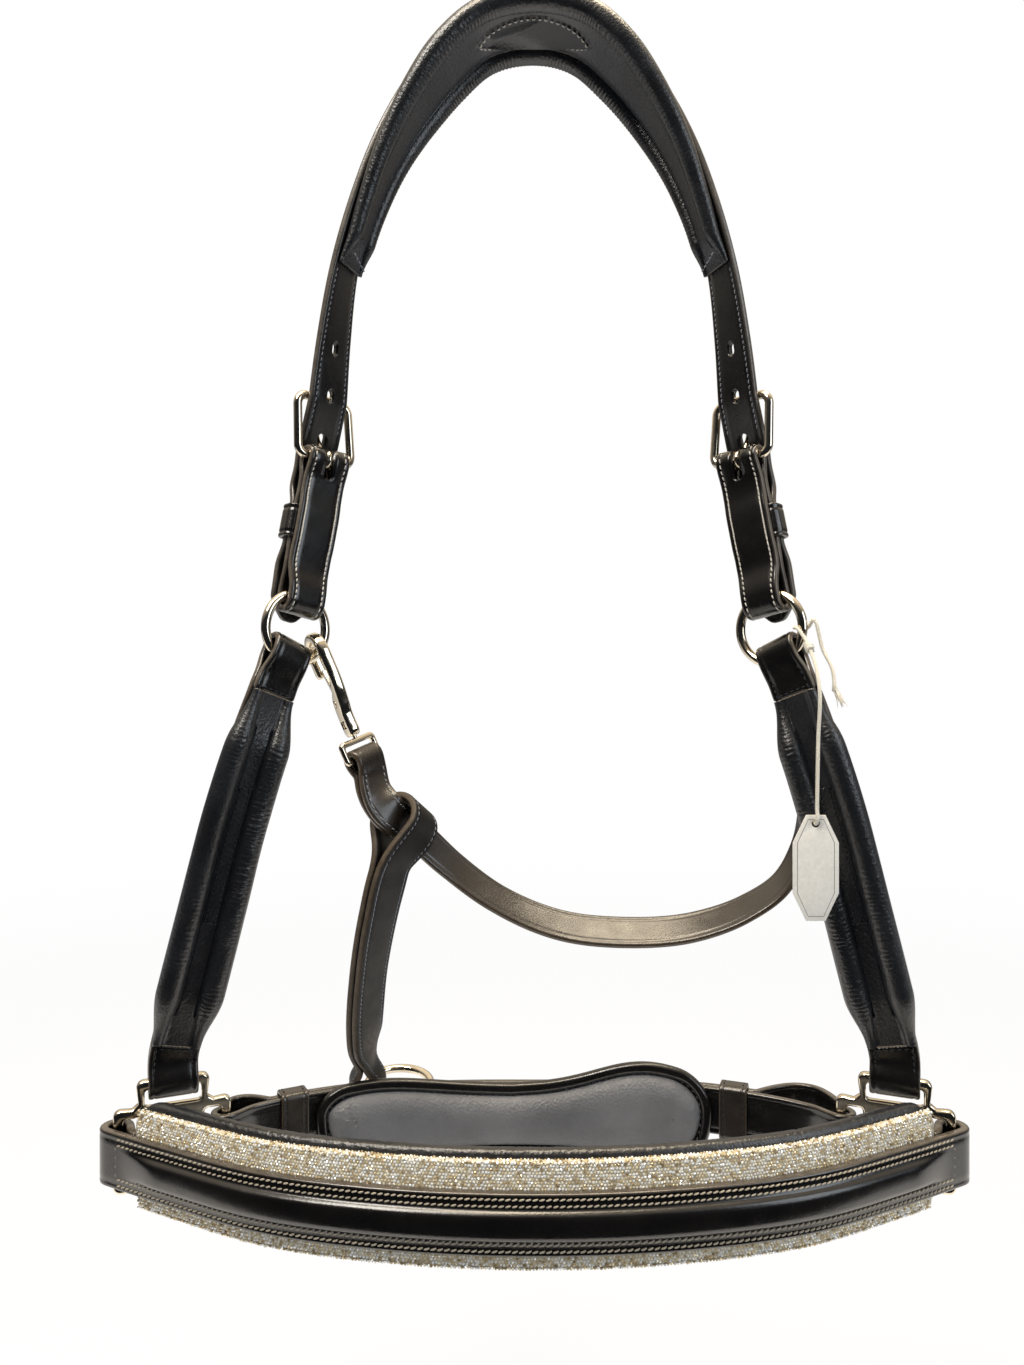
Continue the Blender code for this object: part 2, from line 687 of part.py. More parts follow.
def make_keeper():
    # Sewn in between the buckle strap's plies, it wraps the outer ply and the billet's tail.
    outlines = keeper_outline(
        KEEPER_INNER_PLY / 2, tail_off + PLY / 2 + GAP, STRAP_WIDTH / 2 + KEEPER_CLEARANCE, KEEPER_PLY,
        KEEPER_INNER_PLY
    )
    matrix = crown.matrix(keeper_at)
    return plate("right_keeper", outlines, KEEPER_HEIGHT, matrix, "black_leather", matrix.translation)


ring_axis = crown.frame(S_RING)[3]
pairs = {
    "left_buckle_strap": make_buckle_strap(),
    "left_buckle_frame": make_buckle_frame(),
    "left_buckle_tongue": make_tongue(),
    "left_keeper": make_keeper(),
    "left_upper_ring": ring(
        "right_upper_ring", RING_CENTRE, ring_axis, RING_RADIUS, RING_WIRE, "polished_metal", RING_CENTRE
    ),
}


# Cheeks

def make_cheek_strap():
    # One strap along the outside, turned in round the ring at the top and round the fitting at the bottom.
    reach = RING_RADIUS - (math.sqrt((RING_RADIUS - RING_WIRE) ** 2 - (RING_END_WIDTH / 2) ** 2)
                           - RING_CLEARANCE + ring_fold_radius - PLY / 2)
    upper = turned_end((RING_RADIUS, 0.0), -1, ring_fold_radius, reach, -PLY_OFF, PLY_OFF, 0.010)
    bar_fold = FITTING_BAR / 2 + RING_CLEARANCE * 0.8 + PLY / 2
    lower = turned_end((S_FITTING, 0.0), 1, bar_fold, 0.0005, PLY_OFF, -PLY_OFF, 0.009)
    outer = [(s, PLY_OFF) for s in span(RING_RADIUS + 0.010, S_FITTING - 0.009, 0.0070)[1:-1]]
    route = [(RING_RADIUS + TURN_BACK, -PLY_OFF)] + upper + outer + lower + [(S_FITTING - TURN_BACK, -PLY_OFF)]
    width = [STRAP_WIDTH - (STRAP_WIDTH - RING_END_WIDTH) * smooth_step(
        min(1.0, max(0.0, (RING_RADIUS + 0.014 - s) / 0.014))) for s, _ in route]
    return strap("right_cheek_strap", cheek, route, width, PLY, "black_leather")


def make_cheek_padding():
    start = RING_RADIUS + TURN_BACK + 2 * GAP
    stop = S_FITTING - TURN_BACK - 2 * GAP
    rows = []
    for s in span(start, stop, 0.0062):
        t = (s - start) / (stop - start)
        near_end = smooth_step(min(1.0, min(t, 1 - t) / 0.16))
        width = CHEEK_PAD_NARROW + (CHEEK_PAD_WIDTH - CHEEK_PAD_NARROW) * near_end
        roll = CHEEK_ROLL * (0.40 + 0.60 * near_end)
        top = -GAP
        centre = width / 2 - roll
        section = [(top, centre * 0.5)]
        for k in range(5):
            angle = math.radians(65 - 57 * k)
            section.append((top - roll + roll * math.sin(angle), centre + roll * math.cos(angle)))
        section.append((top - roll * 0.75, centre * 0.12))
        section = section + [(n, -w) for n, w in reversed(section)]
        rows.append(cheek.at(s, [n for n, _ in section], [w for _, w in section]))
    return loft("right_cheek_padding", rows, False, "soft_nappa")


def make_fitting():
    # A cast frame with three strap slots round a middle opening: cheek above, noseband outside, chin inside.
    bar = FITTING_BAR
    high = FITTING_EYE / 2 + bar
    reach = FITTING_REACH + bar / 2
    waist = FITTING_REACH - bar / 2 - FITTING_SLOT
    top = high + FITTING_SLOT + bar
    top_half = FITTING_TOP_EYE / 2 + bar * 0.8
    notch = 0.0016
    corner = 0.0030

    def bulge(x, y, way, steps=3):
        # A rounded outer corner; way is the quarter it faces.
        cx = x - corner * math.copysign(1, x)
        cy = y - corner * math.copysign(1, y)
        start = {(1, 1): 0, (-1, 1): 90, (-1, -1): 180, (1, -1): 270}[way]
        return [
            (cx + corner * math.cos(math.radians(start + 90 * k / steps)),
             cy + corner * math.sin(math.radians(start + 90 * k / steps)))
            for k in range(steps + 1)
        ]

    outline = bulge(reach, high, (1, 1))
    outline += [(top_half + notch, high - 0.0004), (top_half - 0.0008, high + 0.0014)]
    outline += bulge(top_half, top, (1, 1)) + bulge(-top_half, top, (-1, 1))
    outline += [(-top_half + 0.0008, high + 0.0014), (-top_half - notch, high - 0.0004)]
    outline += bulge(-reach, high, (-1, 1)) + bulge(-reach, -high, (-1, -1)) + bulge(reach, -high, (1, -1))
    side_mid = FITTING_REACH - bar / 2 - FITTING_SLOT / 2
    side_eye = rounded_box(FITTING_SLOT / 2, FITTING_EYE / 2, 0.0012, 2, (side_mid, 0.0))
    inner_eye = rounded_box(FITTING_SLOT / 2, FITTING_EYE / 2, 0.0012, 2, (-side_mid, 0.0))
    top_eye = rounded_box(FITTING_TOP_EYE / 2, FITTING_SLOT / 2, 0.0012, 2, (0.0, high + FITTING_SLOT / 2))
    middle = rounded_box(waist - bar, FITTING_EYE / 2, 0.0020, 2)
    across = np.array(turned(FITTING_TURN))
    out = np.cross([0.0, 0.0, -1.0], across)
    columns = Matrix([list(across), [0.0, 0.0, 1.0], list(-out)]).transposed().to_4x4()
    matrix = Matrix.Translation(Vector(FITTING_CENTRE)) @ columns
    item = plate(
        "right_fitting", [outline, side_eye, inner_eye, top_eye, middle], FITTING_THICK, matrix,
        "polished_metal", tuple(top_bar_point), ease=0.0005,
    )
    return item


pairs["left_cheek_strap"] = make_cheek_strap()
pairs["left_cheek_padding"] = make_cheek_padding()
pairs["left_fitting"] = make_fitting()

# Noseband. Its line passes in front of the fittings' outer bars.
fitting_across = np.array(turned(FITTING_TURN))
nose_bar = np.array(FITTING_CENTRE) - fitting_across * FITTING_REACH
chin_bar = np.array(FITTING_CENTRE) + fitting_across * FITTING_REACH
nose_fold = FITTING_THICK / 2 + FITTING_PLAY + PANEL_PLY / 2
nose_slope = math.atan2(nose_bar[1] - NOSE_HALF[-1][1], nose_bar[0] - NOSE_HALF[-1][0])
nose_pass = nose_bar[:2] + nose_fold * np.array([math.sin(nose_slope), -math.cos(nose_slope)])
height = FITTING_CENTRE[2]
nose_half = [(x, y, height) for x, y in NOSE_HALF] + [(nose_pass[0], nose_pass[1], height)]
nose_points, nose_widths = mirrored_line(nose_half, lambda p, side: (0.0, 0.0, 1.0))
nose = Line(nose_points, nose_widths, zero=len(nose_half) - 1)
S_NOSE = nose.s[-1]


def make_noseband_strap():
    back = -PANEL_PLY - GAP
    right = turned_end((S_NOSE, -nose_fold), 1, nose_fold, 0.0, 0.0, back, NOSE_FLARE)
    left = [(-s, n) for s, n in reversed(right)]
    front = [(s, 0.0) for s in span(-S_NOSE + NOSE_FLARE, S_NOSE - NOSE_FLARE, 0.0105)[1:-1]]
    turn_in = S_NOSE - BASE_INSET + 0.0010
    route = [(-turn_in, back)] + left + front + right + [(turn_in, back)]
    swell = []
    for k, (s, n) in enumerate(route):
        on_front = 1 + len(left) <= k < 1 + len(left) + len(front)
        inset = smooth_step(min(1.0, max(0.0, (S_NOSE - abs(s) - 0.010) / 0.025)))
        swell.append(PANEL_SWELL * inset if on_front else 0.0)
    swell = [-x for x in swell]
    rows = strap_rows(nose, route, PANEL_HEIGHT, PANEL_PLY, ease=EASED_EDGE, swell=[-x for x in swell])
    return loft("noseband_strap", rows, False, "black_leather")


def nose_layer(name, inset, top, bottom, tall, round_by, material, step):
    rows = []
    limit = S_NOSE - inset
    for s in span(-limit, limit, step):
        end = smooth_step(min(1.0, (limit - abs(s)) / 0.012 + 0.35))
        half = tall / 2 * (0.86 + 0.14 * min(1.0, end))
        depth = top - bottom
        r = min(round_by, depth / 2)
        section = []
        for sign in (1, -1):
            corner = []
            for k in range(4):
                angle = math.radians(90 - 60 * k)
                corner.append(((top + bottom) / 2 + depth / 2 * math.sin(angle), half - r + r * math.cos(angle)))
            section += corner if sign == 1 else [(n, -w) for n, w in reversed(corner)]
        rows.append(nose.at(s, [n for n, _ in section], [w + BASE_RISE for _, w in section]))
    return loft(name, rows, False, material)


make_noseband_strap()
base_top = -PANEL_PLY / 2 - GAP
nose_layer("noseband_base", BASE_INSET, base_top, base_top - BASE_PLY, BASE_HEIGHT, 0.0014,
           "crystal_fabric", 0.0115)
lining_top = base_top - BASE_PLY - GAP
nose_layer("noseband_lining", BASE_INSET, lining_top, lining_top - LINING_PLY, LINING_HEIGHT, 0.0034,
           "soft_nappa", 0.0115)

# Chin strap, its keepers, pad and ring. The line passes through the fittings' inner bars.
chin_half = [(x, y, height) for x, y in CHIN_HALF] + [(chin_bar[0], chin_bar[1], height)]
chin_points, chin_widths = mirrored_line(chin_half, lambda p, side: (0.0, 0.0, -1.0))
chin = Line(chin_points, chin_widths, zero=len(chin_half) - 1)
S_CHIN = chin.s[-1]


def chin_turned_back(side):
    # The end of the chin strap on one side: in through the fitting, bowed back and flat past the keeper.
    fold = FITTING_THICK / 2 + FITTING_PLAY + PLY / 2
    turned_part = turned_end((S_CHIN, 0.0), 1, fold, 0.0003, -PLY_OFF, PLY_OFF, 0.0120, steps=8)
    sew = CHIN_KEEPER_AT + side * CHIN_SHIFT + CHIN_KEEPER_WIDTH / 2 + CHIN_KEEPER_TRAVEL
    route = []
    for s, n in turned_part:
        t = min(1.0, max(0.0, (S_CHIN - s) / (S_CHIN - sew)))
        bow = CHIN_BOW * math.sin(math.pi * t) if n > 0.0 and s < S_CHIN else 0.0
        route.append((s, n + bow * (S_CHIN - sew) / 0.024))
    for s in span(route[-1][0], sew, 0.004)[1:]:
        t = min(1.0, (S_CHIN - s) / (S_CHIN - sew))
        route.append((s, PLY_OFF + CHIN_BOW * math.sin(math.pi * t) * (S_CHIN - sew) / 0.024))
    return route + [(s, PLY_OFF) for s in span(sew - 0.003, CHIN_END, 0.012)]


def make_chin_strap():
    # One strap whose ends turn back round the fittings and are sewn down past the keepers.
    right = chin_turned_back(1)
    left = [(-s, n) for s, n in reversed(chin_turned_back(-1))]
    middle = [(s, -PLY_OFF) for s in span(left[-1][0], right[0][0], 0.012)[1:-1]]
    return strap("chin_strap", chin, left + middle + right, CHIN_WIDTH, PLY, "black_leather")


def make_chin_keeper(name, side):
    low = -PLY_OFF - PLY / 2 - KEEPER_CLEARANCE
    outlines = keeper_outline(
        low, -low, CHIN_WIDTH / 2 + KEEPER_CLEARANCE, CHIN_KEEPER_PLY, CHIN_KEEPER_PLY
    )
    matrix = chin.matrix(side * CHIN_KEEPER_AT + CHIN_SHIFT)
    return plate(name, outlines, CHIN_KEEPER_WIDTH, matrix, "black_leather", matrix.translation)


def chin_edge(s, inset):
    # Half heights of the pad above and below its line: two lobes with a dip between them.
    reach = CHIN_PAD_HALF - inset
    t = min(1.0, abs(s) / reach)
    lobe = math.exp(-((abs(s) - 0.058) / 0.030) ** 2)
    corner = math.sqrt(max(0.0, 1 - max(0.0, (t - 0.82) / 0.18) ** 2.4))
    rise = CHIN_LOBE_RIGHT if s > 0 else CHIN_LOBE_LEFT
    top = (CHIN_PAD_TOP + rise * lobe - inset) * corner
    bottom = (CHIN_PAD_BOTTOM + CHIN_LOBE_BOTTOM * lobe - inset) * corner
    return max(top, 0.0008), max(bottom, 0.0008)


def make_chin_backing():
    back = -PLY_OFF - PLY / 2 - GAP
    front = back - CHIN_BACKING_PLY
    stations = [-s for s in reversed(chin_stations(CHIN_PAD_HALF)[1:])] + chin_stations(CHIN_PAD_HALF)
    rows = []
    for s in stations:
        top, bottom = chin_edge(s, 0.0)
        ease = min(0.0009, top * 0.4)
        section = [(back, -top + ease), (back, bottom - ease), (back - 0.0008, bottom), (front + 0.0008, bottom),
                   (front, bottom - ease), (front, -top + ease), (front + 0.0008, -top), (back - 0.0008, -top)]
        rows.append(chin.at(s + CHIN_SHIFT, [n for n, _ in section], [w for _, w in section]))
    return loft("chin_pad_backing", rows, False, "black_leather")


def chin_stations(reach):
    return [0.0] + span(0.010, reach * 0.82, 0.0105) + [reach * f for f in (0.88, 0.93, 0.97, 0.99, 1.0)]


def make_chin_pad():
    # A soft crowned pad, lower at its edge and drawn in a little along the middle.
    back = -PLY_OFF - PLY / 2 - 2 * GAP - CHIN_BACKING_PLY
    reach = CHIN_PAD_HALF - CHIN_PAD_RIM
    stations = [-s for s in reversed(chin_stations(reach)[1:])] + chin_stations(reach)
    rows = []
    for s in stations:
        top, bottom = chin_edge(s, CHIN_PAD_RIM)
        end = math.sqrt(max(0.0, 1 - (abs(s) / reach) ** 6))
        high = CHIN_PAD_PLY * (0.25 + 0.75 * end)
        middle = (bottom - top) / 2
        half = (top + bottom) / 2
        section = [(back, middle + half * 0.96), (back, middle - half * 0.96)]
        for k in range(7):
            angle = math.radians(180 - 30 * k)
            lift = math.sin(angle) ** 0.6 if 0 < k < 6 else 0.25
            section.append((back - high * lift, middle + half * math.cos(angle)))
        rows.append(chin.at(s + CHIN_SHIFT, [n for n, _ in section], [w for _, w in section]))
    return loft("chin_pad", rows, False, "grey_pad")


make_chin_strap()
make_chin_keeper("right_chin_keeper", 1)
make_chin_keeper("left_chin_keeper", -1)
make_chin_backing()
make_chin_pad()

# The hanger is a short leather loop on the back of the strap, with the ring's wire inside it.
hanger_foot = -PLY_OFF + PLY / 2 + GAP
hanger_bore = RING_WIRE + HANGER_CLEARANCE
hanger_centre = hanger_foot + HANGER_PLY + hanger_bore
wire_point = chin.at(CHIN_RING_AT, hanger_centre)
rise = math.radians(CHIN_RING_RISE)
chin_out = chin.frame(CHIN_RING_AT)[3]
ring_way = chin_out * math.cos(rise) + np.array([0.0, 0.0, 1.0]) * math.sin(rise)
chin_ring_centre = wire_point + ring_way * CHIN_RING_RADIUS
chin_ring_axis = np.cross(chin.frame(CHIN_RING_AT)[1], ring_way)


def make_hanger():
    outer = []
    for k in range(9):
        angle = math.radians(-30 + 240 * k / 8)
        reach = hanger_bore + HANGER_PLY
        outer.append((reach * math.cos(angle), hanger_centre + reach * math.sin(angle)))
    outer += [(-0.0085, hanger_foot + 0.0012), (-0.0085, hanger_foot), (0.0085, hanger_foot),
              (0.0085, hanger_foot + 0.0012)]
    hole = []
    for k in range(14):
        angle = 2 * math.pi * k / 14
        hole.append((hanger_bore * math.cos(angle), hanger_centre + hanger_bore * math.sin(angle)))
    matrix = chin.matrix(CHIN_RING_AT)
    return plate("chin_ring_hanger", [outer, hole], HANGER_LENGTH, matrix, "black_leather")


make_hanger()
ring("chin_ring", tuple(chin_ring_centre), tuple(chin_ring_axis), CHIN_RING_RADIUS, RING_WIRE,
     "polished_metal", tuple(wire_point))


# Snap hook on the left ring. Its plane holds the directions across and down.
snap_down = np.array(SNAP_DOWN) / np.linalg.norm(SNAP_DOWN)
snap_face = np.array(SNAP_FACE) - np.dot(SNAP_FACE, snap_down) * snap_down
snap_face /= np.linalg.norm(snap_face)
snap_across = np.cross(snap_down, snap_face)
EYE_BAR_AT = EYE_TOP + EYE_BAR + EYE_SLOT + EYE_BAR / 2
eye_turn = math.radians(EYE_TURN)
eye_face = snap_face * math.cos(eye_turn) - snap_across * math.sin(eye_turn)


def snap_point(across, down, face=0.0):
    return np.array(SNAP_AT) + across * snap_across + down * snap_down + face * snap_face


def snap_matrix(across, down, first=None):
    # Local x is across, or the direction given, and y is up.
    first = snap_across if first is None else first
    third = np.cross(first, -snap_down)
    columns = Matrix([list(first), list(-snap_down), list(third)]).transposed().to_4x4()
    return Matrix.Translation(Vector(snap_point(across, down))) @ columns


def band(path):
    # The outline of a flat band given by its middle line and half-widths, with rounded corners at its ends.
    path = np.array(path, float)
    way = np.gradient(path[:, :2], axis=0)
    way /= np.linalg.norm(way, axis=1, keepdims=True)
    side = np.stack([-way[:, 1], way[:, 0]], axis=1) * path[:, 2:3]
    left = path[:, :2] + side
    right = path[:, :2] - side
    return [tuple(p) for p in np.concatenate([left, right[::-1]])]


def make_snap_hook():
    w = SNAP_WIRE
    path = [(-SNAP_BEND, -SNAP_NOSE, w * 0.75), (-SNAP_BEND, -SNAP_NOSE + 0.0015, w), (-SNAP_BEND, -0.0030, w)]
    for k in range(9):
        angle = math.pi * (1 - k / 8)
        path.append((SNAP_BEND * math.cos(angle), 0.0010 + SNAP_BEND * math.sin(angle), w))
    rivet_down = RIVET_AT[1]
    path += [(SNAP_BEND, -0.0045, w), (SNAP_BEND * 0.98, -0.50 * rivet_down, w)]
    path += [(0.0047, -0.76 * rivet_down, 0.0027), (0.0018, -0.99 * rivet_down, 0.0041)]
    path += [(0.0003, -1.20 * rivet_down, 0.0039), (0.0, -1.42 * rivet_down, 0.0038)]
    path += [(0.0, -SNAP_BOSS_END + 0.0010, 0.0034), (0.0, -SNAP_BOSS_END, 0.0026)]
    item = plate(
        "snap_hook", [band(path)], SNAP_THICK, snap_matrix(0.0, 0.0), "polished_metal",
        tuple(snap_point(0.0, SNAP_BOSS_END)), ease=SNAP_EASE,
    )
    root = RIVET_RADIUS * 2 + 2 * GAP
    slot = rounded_box(0.0060, GATE_SLOT_HALF, 0.0012, 2)
    slot_end = RIVET_AT[0] + root + GAP
    window_mid = (SNAP_WINDOW[0] + SNAP_WINDOW[1]) / 2
    window = rounded_box(SWIVEL_HEAD + 0.0005, (SNAP_WINDOW[1] - SNAP_WINDOW[0]) / 2, 0.0003, 1)
    slot_down = RIVET_AT[1] + root + GAP - GATE_SLOT_HALF
    rivet_hole = [(x, y) for x, y in circle(RIVET_RADIUS + GAP, 12)]
    bore = [(x, y) for x, y in circle(SWIVEL_STEM + GAP, 12)]
    lay = Matrix.Rotation(math.radians(90), 4, "X")
    cut(item, [
        cutter("gate_slot", slot, GATE_THICK + 2 * GAP, snap_matrix(slot_end - 0.0060, slot_down)),
        cutter("swivel_window", window, 2 * SNAP_THICK, snap_matrix(0.0, window_mid)),
        cutter("rivet_bore", rivet_hole, 2 * SNAP_THICK, snap_matrix(*RIVET_AT)),
        cutter("swivel_bore", bore, 0.008, snap_matrix(0.0, SNAP_BOSS_END) @ lay),
    ])
    return item


def circle(radius, count):
    return [(radius * math.cos(2 * math.pi * k / count), radius * math.sin(2 * math.pi * k / count))
            for k in range(count)]


def make_gate():
    # A flat lever on the rivet, whose tip rests against the inside of the hook's nose.
    root = RIVET_RADIUS * 2 + GAP
    start = np.array([RIVET_AT[0], -RIVET_AT[1]])
    tip = np.array([GATE_TIP[0], -GATE_TIP[1]])
    way = (tip - start) / np.linalg.norm(tip - start)
    side = np.array([-way[1], way[0]])
    outline = []
    for k in range(11):
        angle = math.radians(40 + 280 * k / 10)
        outline.append(tuple(start + root * (math.cos(angle) * way + math.sin(angle) * side)))
    half = GATE_HALF
    outline += [tuple(start + 0.0045 * way - half * side), tuple(tip - 0.0008 * way - half * side),
                tuple(tip - half * 0.5 * side), tuple(tip + half * 0.5 * side),
                tuple(tip - 0.0008 * way + half * side), tuple(start + 0.0045 * way + half * side)]
    hole = [tuple(start + np.array(p)) for p in circle(RIVET_RADIUS + GAP, 12)]
    return plate("snap_gate", [outline, hole], GATE_THICK, snap_matrix(0.0, 0.0), "polished_metal",
                 tuple(snap_point(*RIVET_AT)))


def make_rivet():
    outline = circle(RIVET_RADIUS, 12)
    return plate("snap_rivet", [outline], SNAP_THICK + 0.0006, snap_matrix(*RIVET_AT), "polished_metal",
                 tuple(snap_point(*RIVET_AT)), ease=0.0003)


def make_snap_eye():
    # A strap eye on a stem whose head turns inside the hook's window.
    half = LASH_WIDTH / 2 + 0.0008
    height = EYE_SLOT + 2 * EYE_BAR
    outer = rounded_box(half + EYE_BAR * 0.9, height / 2, 0.0024, 3)
    inner = rounded_box(half, EYE_SLOT / 2, 0.0010, 2)
    middle = EYE_TOP + height / 2
    head_down = SNAP_WINDOW[0] + GAP
    head_long = SNAP_WINDOW[1] - SNAP_WINDOW[0] - 2 * GAP
    item = plate("snap_eye", [outer, inner], EYE_BAR, snap_matrix(0.0, middle, eye_face), "polished_metal",
                 tuple(snap_point(0.0, EYE_TOP)), ease=0.0005)
    lay = Matrix.Rotation(math.radians(90), 4, "X")
    stem_long = EYE_TOP + EYE_BAR / 2 - head_down - head_long / 2
    stem = cutter("swivel_stem", circle(SWIVEL_STEM, 12), stem_long,
                  snap_matrix(0.0, head_down + head_long / 2 + stem_long / 2) @ lay)
    head = cutter("swivel_head", circle(SWIVEL_HEAD, 12), head_long,
                  snap_matrix(0.0, head_down + head_long / 2) @ lay)
    for tool in (stem, head):
        modifier = item.modifiers.new("join_" + tool.name, "BOOLEAN")
        modifier.operation = "UNION"
        modifier.solver = "EXACT"
        modifier.object = tool
    return item


make_snap_hook()
make_gate()
make_rivet()
make_snap_eye()

# The throatlash runs from the snap's eye through the throat strap's loop to the back of the right cheek.
LASH_OFF = LASH_PLY / 2 + GAP / 2
lash_start = snap_point(0.0, EYE_BAR_AT)
cheek_back = PLY_OFF + PLY / 2 + 4 * GAP + LASH_PLY / 2 + LASH_OFF
sewn = [LASH_SEWN + reach for reach in (0.028, 0.014, 0.0)]
throat_axis = np.array(THROAT_AXIS) / np.linalg.norm(THROAT_AXIS)
loop_centre = np.array(THROAT_LOOP_AT)
lash_points = [
    (lash_start, eye_face),
    (lash_start + 0.006 * snap_down, eye_face),
    ((-0.0652, 0.0046, -0.3118), (0.50, 0.70, 0.35)),
    (loop_centre - 0.0125 * throat_axis, (0.30, 0.42, 0.85)),
    (loop_centre, (0.30, 0.42, 0.85)),
    (loop_centre + 0.0115 * throat_axis, (0.25, 0.50, 0.83)),
    ((-0.0360, 0.0262, -0.3462), (0.12, 0.66, 0.74)),
    ((-0.0156, 0.0260, -0.3612), (0.0, 0.75, 0.66)),
    ((0.0120, 0.0235, -0.3722), (0.0, 0.75, 0.66)),
    ((0.0392, 0.0215, -0.3748), (0.0, 0.75, 0.66)),
    ((0.0699, 0.0200, -0.3720), (0.0, 0.80, 0.60)),
    ((0.0910, 0.0185, -0.3641), (0.0, 0.86, 0.50)),
    ((0.1064, 0.0175, -0.3531), (-0.05, 0.93, 0.36)),
    ((0.1150, 0.0165, -0.3367), (-0.15, 0.97, 0.15)),
    ((0.1175, 0.0105, -0.3180), (-0.35, 0.90, 0.10)),
] + [(cheek.at(s, cheek_back), cheek.frame(s)[2]) for s in sewn]
lash = Line([p for p, _ in lash_points], [w for _, w in lash_points])
S_LASH = lash.s[-1]


def make_throatlash():
    fold = EYE_BAR * 0.62 + 0.0007 + LASH_PLY / 2
    eye_end = turned_end((0.0, 0.0), -1, fold, 0.0, -LASH_OFF, LASH_OFF, 0.009)
    back = [(s, -LASH_OFF) for s in span(LASH_DOUBLED, 0.009, 0.006)[:-1]]
    front = [(s, LASH_OFF) for s in span(0.009, S_LASH, 0.0062)[1:]]
    return strap("throatlash", lash, back + eye_end + front, LASH_WIDTH, LASH_PLY, "black_leather")


make_throatlash()

# The throat strap: a teardrop loop round the throatlash above, a loop round the chin ring below.
ring_side = chin_ring_centre - chin.frame(CHIN_RING_AT)[1] * CHIN_RING_RADIUS
loop_down = np.array([0.0, 0.0, -1.0]) + throat_axis[2] * throat_axis
loop_down /= np.linalg.norm(loop_down)
throat_points = [
    (loop_centre, throat_axis),
    (loop_centre + 0.0160 * loop_down, throat_axis),
    ((-0.0632, 0.0070, -0.3600), (0.50, 0.80, -0.20)),
    ((-0.0690, 0.0160, -0.3880), (0.50, 0.86, 0.0)),
    ((-0.0728, 0.0300, -0.4180), (0.42, 0.90, 0.0)),
    ((ring_side[0], ring_side[1] - 0.0035, ring_side[2] + 0.0120), (0.05, 0.99, 0.0)),
    (ring_side, ring_way),
]
throat = Line([p for p, _ in throat_points], [w for _, w in throat_points])
S_THROAT = throat.s[-1]
THROAT_OFF = THROAT_PLY / 2 + GAP / 2


def make_throat_strap():
    top = turned_end((0.0, 0.0), -1, THROAT_LOOP + THROAT_PLY / 2, 0.0, -THROAT_OFF, THROAT_OFF, THROAT_TAPER, 10)
    foot = turned_end((S_THROAT, 0.0), 1, THROAT_FOOT + THROAT_PLY / 2, 0.0, THROAT_OFF, -THROAT_OFF, 0.013, 8)
    outer = [(s, THROAT_OFF) for s in span(THROAT_TAPER, S_THROAT - 0.013, 0.011)[1:-1]]
    inner = [(s, -THROAT_OFF) for s, _ in reversed(outer)]
    route = top + outer + foot + inner
    width = [THROAT_WIDTH + (THROAT_FOOT_WIDTH - THROAT_WIDTH) * smooth_step(
        min(1.0, max(0.0, (s - (S_THROAT - 0.030)) / 0.022))) for s, _ in route]
    origin = tuple(throat.at(0.0))
    return strap("throat_strap", throat, route, width, THROAT_PLY, "black_leather", closed=True, origin=origin)


make_throat_strap()

# Hang tag and the string that hangs it on the right ring.
tag_top = np.array(TAG_AT)
string_front = TAG_AT[1] - TAG_THICK / 2 - 2 * GAP - STRING_RADIUS
string_back = TAG_AT[1] + TAG_THICK / 2 + 2 * GAP + STRING_RADIUS
hole_z = TAG_AT[2] - TAG_HOLE_DOWN


def make_tag():
    half, low = TAG_WIDTH / 2, -TAG_HEIGHT
    outline = [(half * 0.42, 0.0), (-half * 0.42, 0.0), (-half, -0.0105), (-half, low + 0.0105),
               (-half * 0.42, low), (half * 0.42, low), (half, low + 0.0105), (half, -0.0105)]
    hole = [(x, y - TAG_HOLE_DOWN) for x, y in circle(TAG_HOLE, 12)]
    stand = Matrix.Translation(Vector(TAG_AT)) @ Matrix.Rotation(math.radians(90), 4, "X")
    return plate("tag_card", [outline, hole], TAG_THICK, stand, "tag_card", string_hang)


ring_down, ring_across, ring_out = crown.frame(S_RING)[1:]
hang = math.radians(STRING_TURN)
wire_side = ring_down * math.sin(hang) - ring_across * math.cos(hang)
wire = np.array(RING_CENTRE) + RING_RADIUS * wire_side
string_hang = tuple(wire)
over = RING_WIRE + STRING_RADIUS + 0.0005


def round_wire(degrees, reach=1.0):
    # A point on the string's turn round the ring's wire, 0 outside the ring and 90 behind it.
    angle = math.radians(degrees)
    return wire + over * reach * (math.cos(angle) * wire_side + math.sin(angle) * ring_out)


string_route = [
    wire + np.array([0.0100, -0.0085, -0.0250]),
    wire + np.array([0.0098, -0.0065, -0.0170]),
    wire + np.array([0.0072, -0.0030, -0.0090]),
    round_wire(30, 1.35) - 0.0030 * ring_down,
    round_wire(85),
    round_wire(140),
    round_wire(195),
    round_wire(250),
    round_wire(290, 1.25) + 0.0030 * ring_down,
    wire + np.array([0.0002, -0.0105, -0.0100]),
    np.array([TAG_AT[0] + 0.0012, string_front + 0.0012, wire[2] - 0.0230]),
    np.array([TAG_AT[0] + 0.0004, string_front, wire[2] - 0.0440]),
    np.array([TAG_AT[0], string_front, hole_z + 0.0060]),
    np.array([TAG_AT[0], string_front, hole_z + 0.0012]),
    np.array([TAG_AT[0], TAG_AT[1], hole_z - 0.0001]),
    np.array([TAG_AT[0], string_back, hole_z + 0.0012]),
    np.array([TAG_AT[0], string_back + 0.0002, hole_z + 0.0080]),
]


